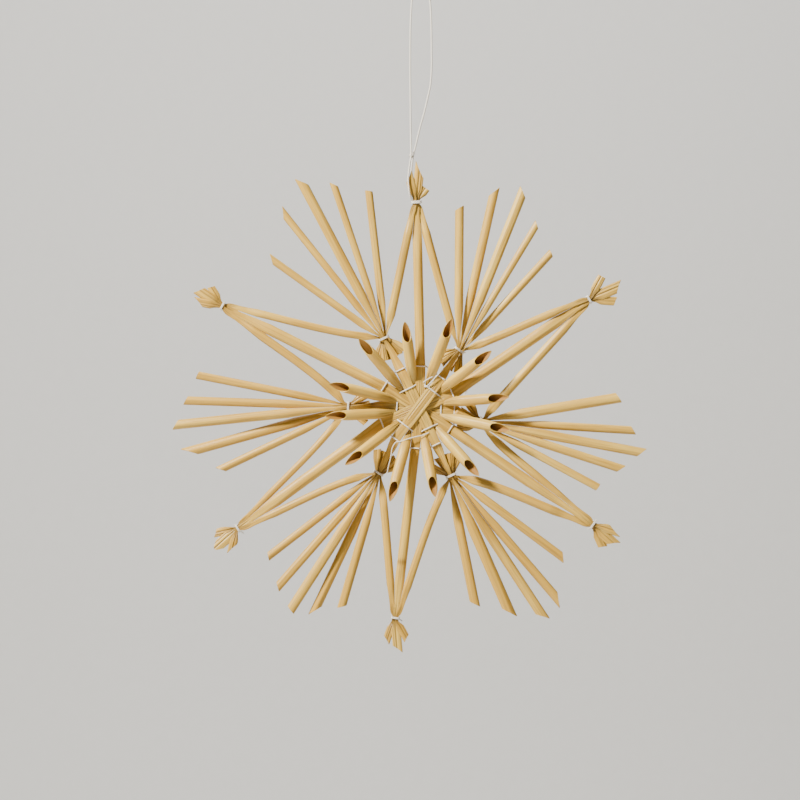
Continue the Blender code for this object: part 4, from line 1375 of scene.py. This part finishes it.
class Finish:
    """A procedural material, written as sums of shader sockets."""

    def __init__(self, name, roughness):
        self.material = bpy.data.materials.new(name)
        self.material.use_nodes = True
        self.tree = self.material.node_tree
        self.shader = self.tree.nodes["Principled BSDF"]
        self.shader.inputs["Roughness"].default_value = roughness

    def fill(self, node, sockets):
        for key, value in sockets.items():
            if isinstance(value, Value):
                self.tree.links.new(value.socket, node.inputs[key])
            else:
                node.inputs[key].default_value = value

    def node(self, kind, settings, sockets, output=0):
        """A node with its settings, then its sockets' values or links, as one of its outputs."""
        node = self.tree.nodes.new(kind)
        for key, value in settings.items():
            setattr(node, key, value)
        self.fill(node, sockets)
        return Value(self, node.outputs[output])

    def attribute(self, name):
        return self.node("ShaderNodeAttribute", {"attribute_name": name}, {}, "Vector")

    def parts(self, vector):
        node = self.tree.nodes.new("ShaderNodeSeparateXYZ")
        self.fill(node, {0: vector})
        return [Value(self, socket) for socket in node.outputs]

    def stretched(self, vector, scale):
        return self.node("ShaderNodeVectorMath", {"operation": "MULTIPLY"}, {0: vector, 1: scale})

    def noise(self, vector, scale, detail, roughness=0.5):
        sockets = {"Vector": vector, "Scale": scale, "Detail": detail, "Roughness": roughness}
        return self.node("ShaderNodeTexNoise", {}, sockets, "Fac")

    def ramp(self, value, low, high):
        sockets = {"Value": value, "From Min": low, "From Max": high}
        return self.node("ShaderNodeMapRange", {"interpolation_type": "SMOOTHSTEP"}, sockets, "Result")

    def mix(self, share, first, second):
        sockets = {"Factor": share, 6: first, 7: second}
        return self.node("ShaderNodeMix", {"data_type": "RGBA"}, sockets, 2)

    def set(self, **sockets):
        self.fill(self.shader, {key.replace("_", " "): value for key, value in sockets.items()})

    def bump(self, height, strength, distance):
        sockets = {"Height": height, "Strength": strength, "Distance": distance}
        self.fill(self.shader, {"Normal": self.node("ShaderNodeBump", {}, sockets, "Normal")})


PALE_STRAW = (0.86, 0.60, 0.13, 1.0)
GOLD_STRAW = (0.62, 0.36, 0.05, 1.0)
DEEP_STRAW = (0.40, 0.215, 0.025, 1.0)
BROWN_STRAW = (0.24, 0.12, 0.015, 1.0)
INNER_STRAW = (0.34, 0.155, 0.02, 1.0)
# Colour of the painted shade in the straws' creases, grooves, flat edges and backs
PAINTED_SHADE_BROWN = (0.13, 0.065, 0.01, 1.0)
THREAD_WHITE = (0.88, 0.85, 0.78, 1.0)
THREAD_SHADE = (0.58, 0.53, 0.43, 1.0)
PAPER = (0.76, 0.76, 0.75, 1.0)
PAPER_FLECK = (0.73, 0.73, 0.72, 1.0)
STRAW_ROUGHNESS = 0.45
MATT = 0.9
BUMP_STRENGTH = 0.5
STRAW_BUMP = 0.15 * MM
THREAD_BUMP = 0.1 * MM

# How fine each pattern is, twice around the straw or the thread and once along it, per millimetre
STREAK_FINENESS = (1.1, 1.1, 0.03)
FIBRE_FINENESS = (4.0, 4.0, 0.05)
HAIR_FINENESS = (14.0, 14.0, 0.25)
PATCH_FINENESS = (0.25, 0.25, 0.025)
FUZZ_FINENESS = (3.0, 3.0, 2.5)
FLECK_FINENESS = 90.0


def straw_finish(name, deepness, gold):
    """Straw with fibres and streaks along it, painted shade in its creases, grooves, edges and back, and
    orange inside.
    """
    straw = Finish(name, STRAW_ROUGHNESS)
    grain = straw.attribute("grain")
    browning, inside, painted_shade = straw.parts(straw.attribute("tone_and_shade"))
    streaks = straw.noise(straw.stretched(grain, STREAK_FINENESS), 1.0, 3.0, 0.6)
    fibres = straw.noise(straw.stretched(grain, FIBRE_FINENESS), 1.0, 3.0, 0.6)
    hairs = straw.noise(straw.stretched(grain, HAIR_FINENESS), 1.0, 2.0, 0.6)
    patches = straw.noise(straw.stretched(grain, PATCH_FINENESS), 1.0, 2.0)
    body = straw.mix(straw.ramp(patches, 0.3, 0.7) * (1.0 - gold), GOLD_STRAW, PALE_STRAW)
    body = straw.mix(straw.ramp(streaks, 0.42, 0.75) * deepness, body, DEEP_STRAW)
    body = straw.mix(straw.ramp(fibres, 0.5, 0.85) * 0.35, body, GOLD_STRAW)
    body = straw.mix(straw.ramp(hairs, 0.5, 0.9) * 0.4, body, BROWN_STRAW)
    body = straw.mix(browning * straw.ramp(streaks, 0.15, 0.6), body, BROWN_STRAW)
    # Painted shade: darker near creases, in grooves, at flat edges and on the back
    body = straw.mix(painted_shade * straw.ramp(fibres, 0.2, 0.6) * 0.85, body, PAINTED_SHADE_BROWN)
    body = straw.mix(inside, body, INNER_STRAW)
    straw.set(Base_Color=body, Roughness=0.33 + 0.2 * fibres + 0.25 * inside)
    straw.bump(fibres + 0.6 * streaks + 0.4 * hairs, BUMP_STRENGTH, STRAW_BUMP)
    return straw.material


def thread_finish():
    """White twisted thread, shaded between its plies, with loose fibres in it."""
    thread = Finish("white_twisted_thread", MATT)
    grain = thread.attribute("grain")
    lobes = thread.parts(thread.attribute("tone_and_shade"))[0]
    fuzz = thread.noise(thread.stretched(grain, FUZZ_FINENESS), 1.0, 3.0, 0.7)
    colour = thread.mix(thread.ramp(lobes + 0.2 * fuzz, 0.85, 1.1), THREAD_SHADE, THREAD_WHITE)
    thread.set(Base_Color=colour)
    thread.bump(fuzz, BUMP_STRENGTH, THREAD_BUMP)
    return thread.material


def paper_finish():
    """Matt pale paper with a faint fleck."""
    paper = Finish("pale_paper", MATT)
    place = paper.node("ShaderNodeTexCoord", {}, {}, "Object")
    fleck = paper.noise(place, FLECK_FINENESS, 2.0)
    paper.set(Base_Color=paper.mix(fleck, PAPER, PAPER_FLECK))
    return paper.material


# Camera and hanging cord come first
def add_camera():
    data = bpy.data.cameras.new("camera")
    data.sensor_width = SENSOR
    data.lens = SENSOR * -CAMERA_PLACE[1] / VIEW_WIDTH
    camera = add_object("camera", data)
    camera.location = CAMERA_PLACE
    camera.rotation_euler = (math.radians(90.0), 0.0, 0.0)
    bpy.context.scene.camera = camera


def hanging_route(tie):
    """The turns round the upper tie, then the loop's own route."""
    return tie_route(tie, HANGING_TURNS, HANGING_THREAD, -HANGING_PITCH) + THREAD_ROUTE


def add_hanging_thread(tie, finish):
    route = hanging_route(tie)
    piece = add_twine("hanging_loop_thread", route, HANGING_THREAD, finish)
    ride(piece, "hanging_thread")


# Floor, backdrop and light
def add_backdrop():
    """A pale floor that curves up into a pale wall behind the star."""
    depths, heights = np.array(BACKDROP).T
    marks = lengths_along(np.array(BACKDROP))
    samples = np.linspace(0.0, marks[-1], BACKDROP_SAMPLES)
    depth = between(marks, depths, samples)
    height = between(marks, heights, samples)
    verts = []
    faces = []
    for i, (y, z) in enumerate(zip(depth, height)):
        verts += [(-BACKDROP_HALF_WIDTH, y, z), (BACKDROP_HALF_WIDTH, y, z)]
        if i:
            faces.append((2 * i - 2, 2 * i - 1, 2 * i + 1, 2 * i))
    mesh = bpy.data.meshes.new("floor_and_backdrop")
    mesh.from_pydata(verts, [], faces)
    mesh.shade_smooth()
    mesh.materials.append(paper_finish())
    floor = add_object("floor_and_backdrop", mesh)


def add_light(name, place, target, size, power, colour):
    data = bpy.data.lights.new(name, "AREA")
    data.shape = "DISK"
    data.size = size
    data.energy = power
    data.color = colour
    light = add_object(name, data)
    light.location = place
    light.rotation_euler = (Vector(target) - Vector(place)).to_track_quat("-Z", "Y").to_euler()


def add_studio():
    """A dim warm surround and the lights."""
    world = bpy.data.worlds.new("studio")
    world.use_nodes = True
    background = world.node_tree.nodes["Background"]
    background.inputs["Color"].default_value = WORLD_COLOUR
    background.inputs["Strength"].default_value = WORLD_STRENGTH
    bpy.context.scene.world = world
    for name, measures in LIGHTS.items():
        add_light(name, *measures)


add_camera()
ties = plan_ties()
thread = thread_finish()
add_hanging_thread(ties["n"], thread)
straws, sections = plan_straws(ties)
finishes = (straw_finish("natural_straw", 0.7, 0.25), straw_finish("golden_straw", 0.85, 0.8))
tube_finish = straw_finish("pale_tube_straw", 0.4, 0.1)
lines = {pair: through_line(pair, straws, sections) for pair in THROUGH}
arm_lines = {name: line for pair, line in lines.items() for name in pair}
for pair, line in lines.items():
    add_through_straw(pair, line, finishes[0])
for fan, name, straw in loose_straws():
    add_fan_straw(name, straw, straws, sections, finishes[fan in GOLDEN])
for side in SIDES:
    add_side_straw(side, straws, sections, finishes[side.fan in GOLDEN])
for number, pair in enumerate(TUBES):
    add_tube_straw(number, pair, tube_finish)
for fan in FANS:
    add_tie(f"fan_tie_{fan}", ties[fan], thread)
for point in POINTS:
    if point != "n":
        add_tie(f"point_tie_{point}", ties[point], thread)
ride(add_twine("outer_hub_lashing", outer_lashing(arm_lines), LASHING, thread))
ride(add_twine("inner_hub_lashing", inner_lashing(arm_lines), LASHING, thread))
for name, places in LOOSE_ENDS.items():
    route = [in_space((x * MM, z * MM), depth * MM) for x, z, depth in places]
    ride(add_twine(f"loose_end_{name}", route, TAIL, thread))
knot = knot_route([part * MM for part in HANGING_KNOT_PLACE], HANGING_KNOT, HANGING_KNOT_TILT)
ride(add_twine("hanging_thread_knot", knot, HANGING_KNOT_THREAD, thread))
add_backdrop()
add_studio()
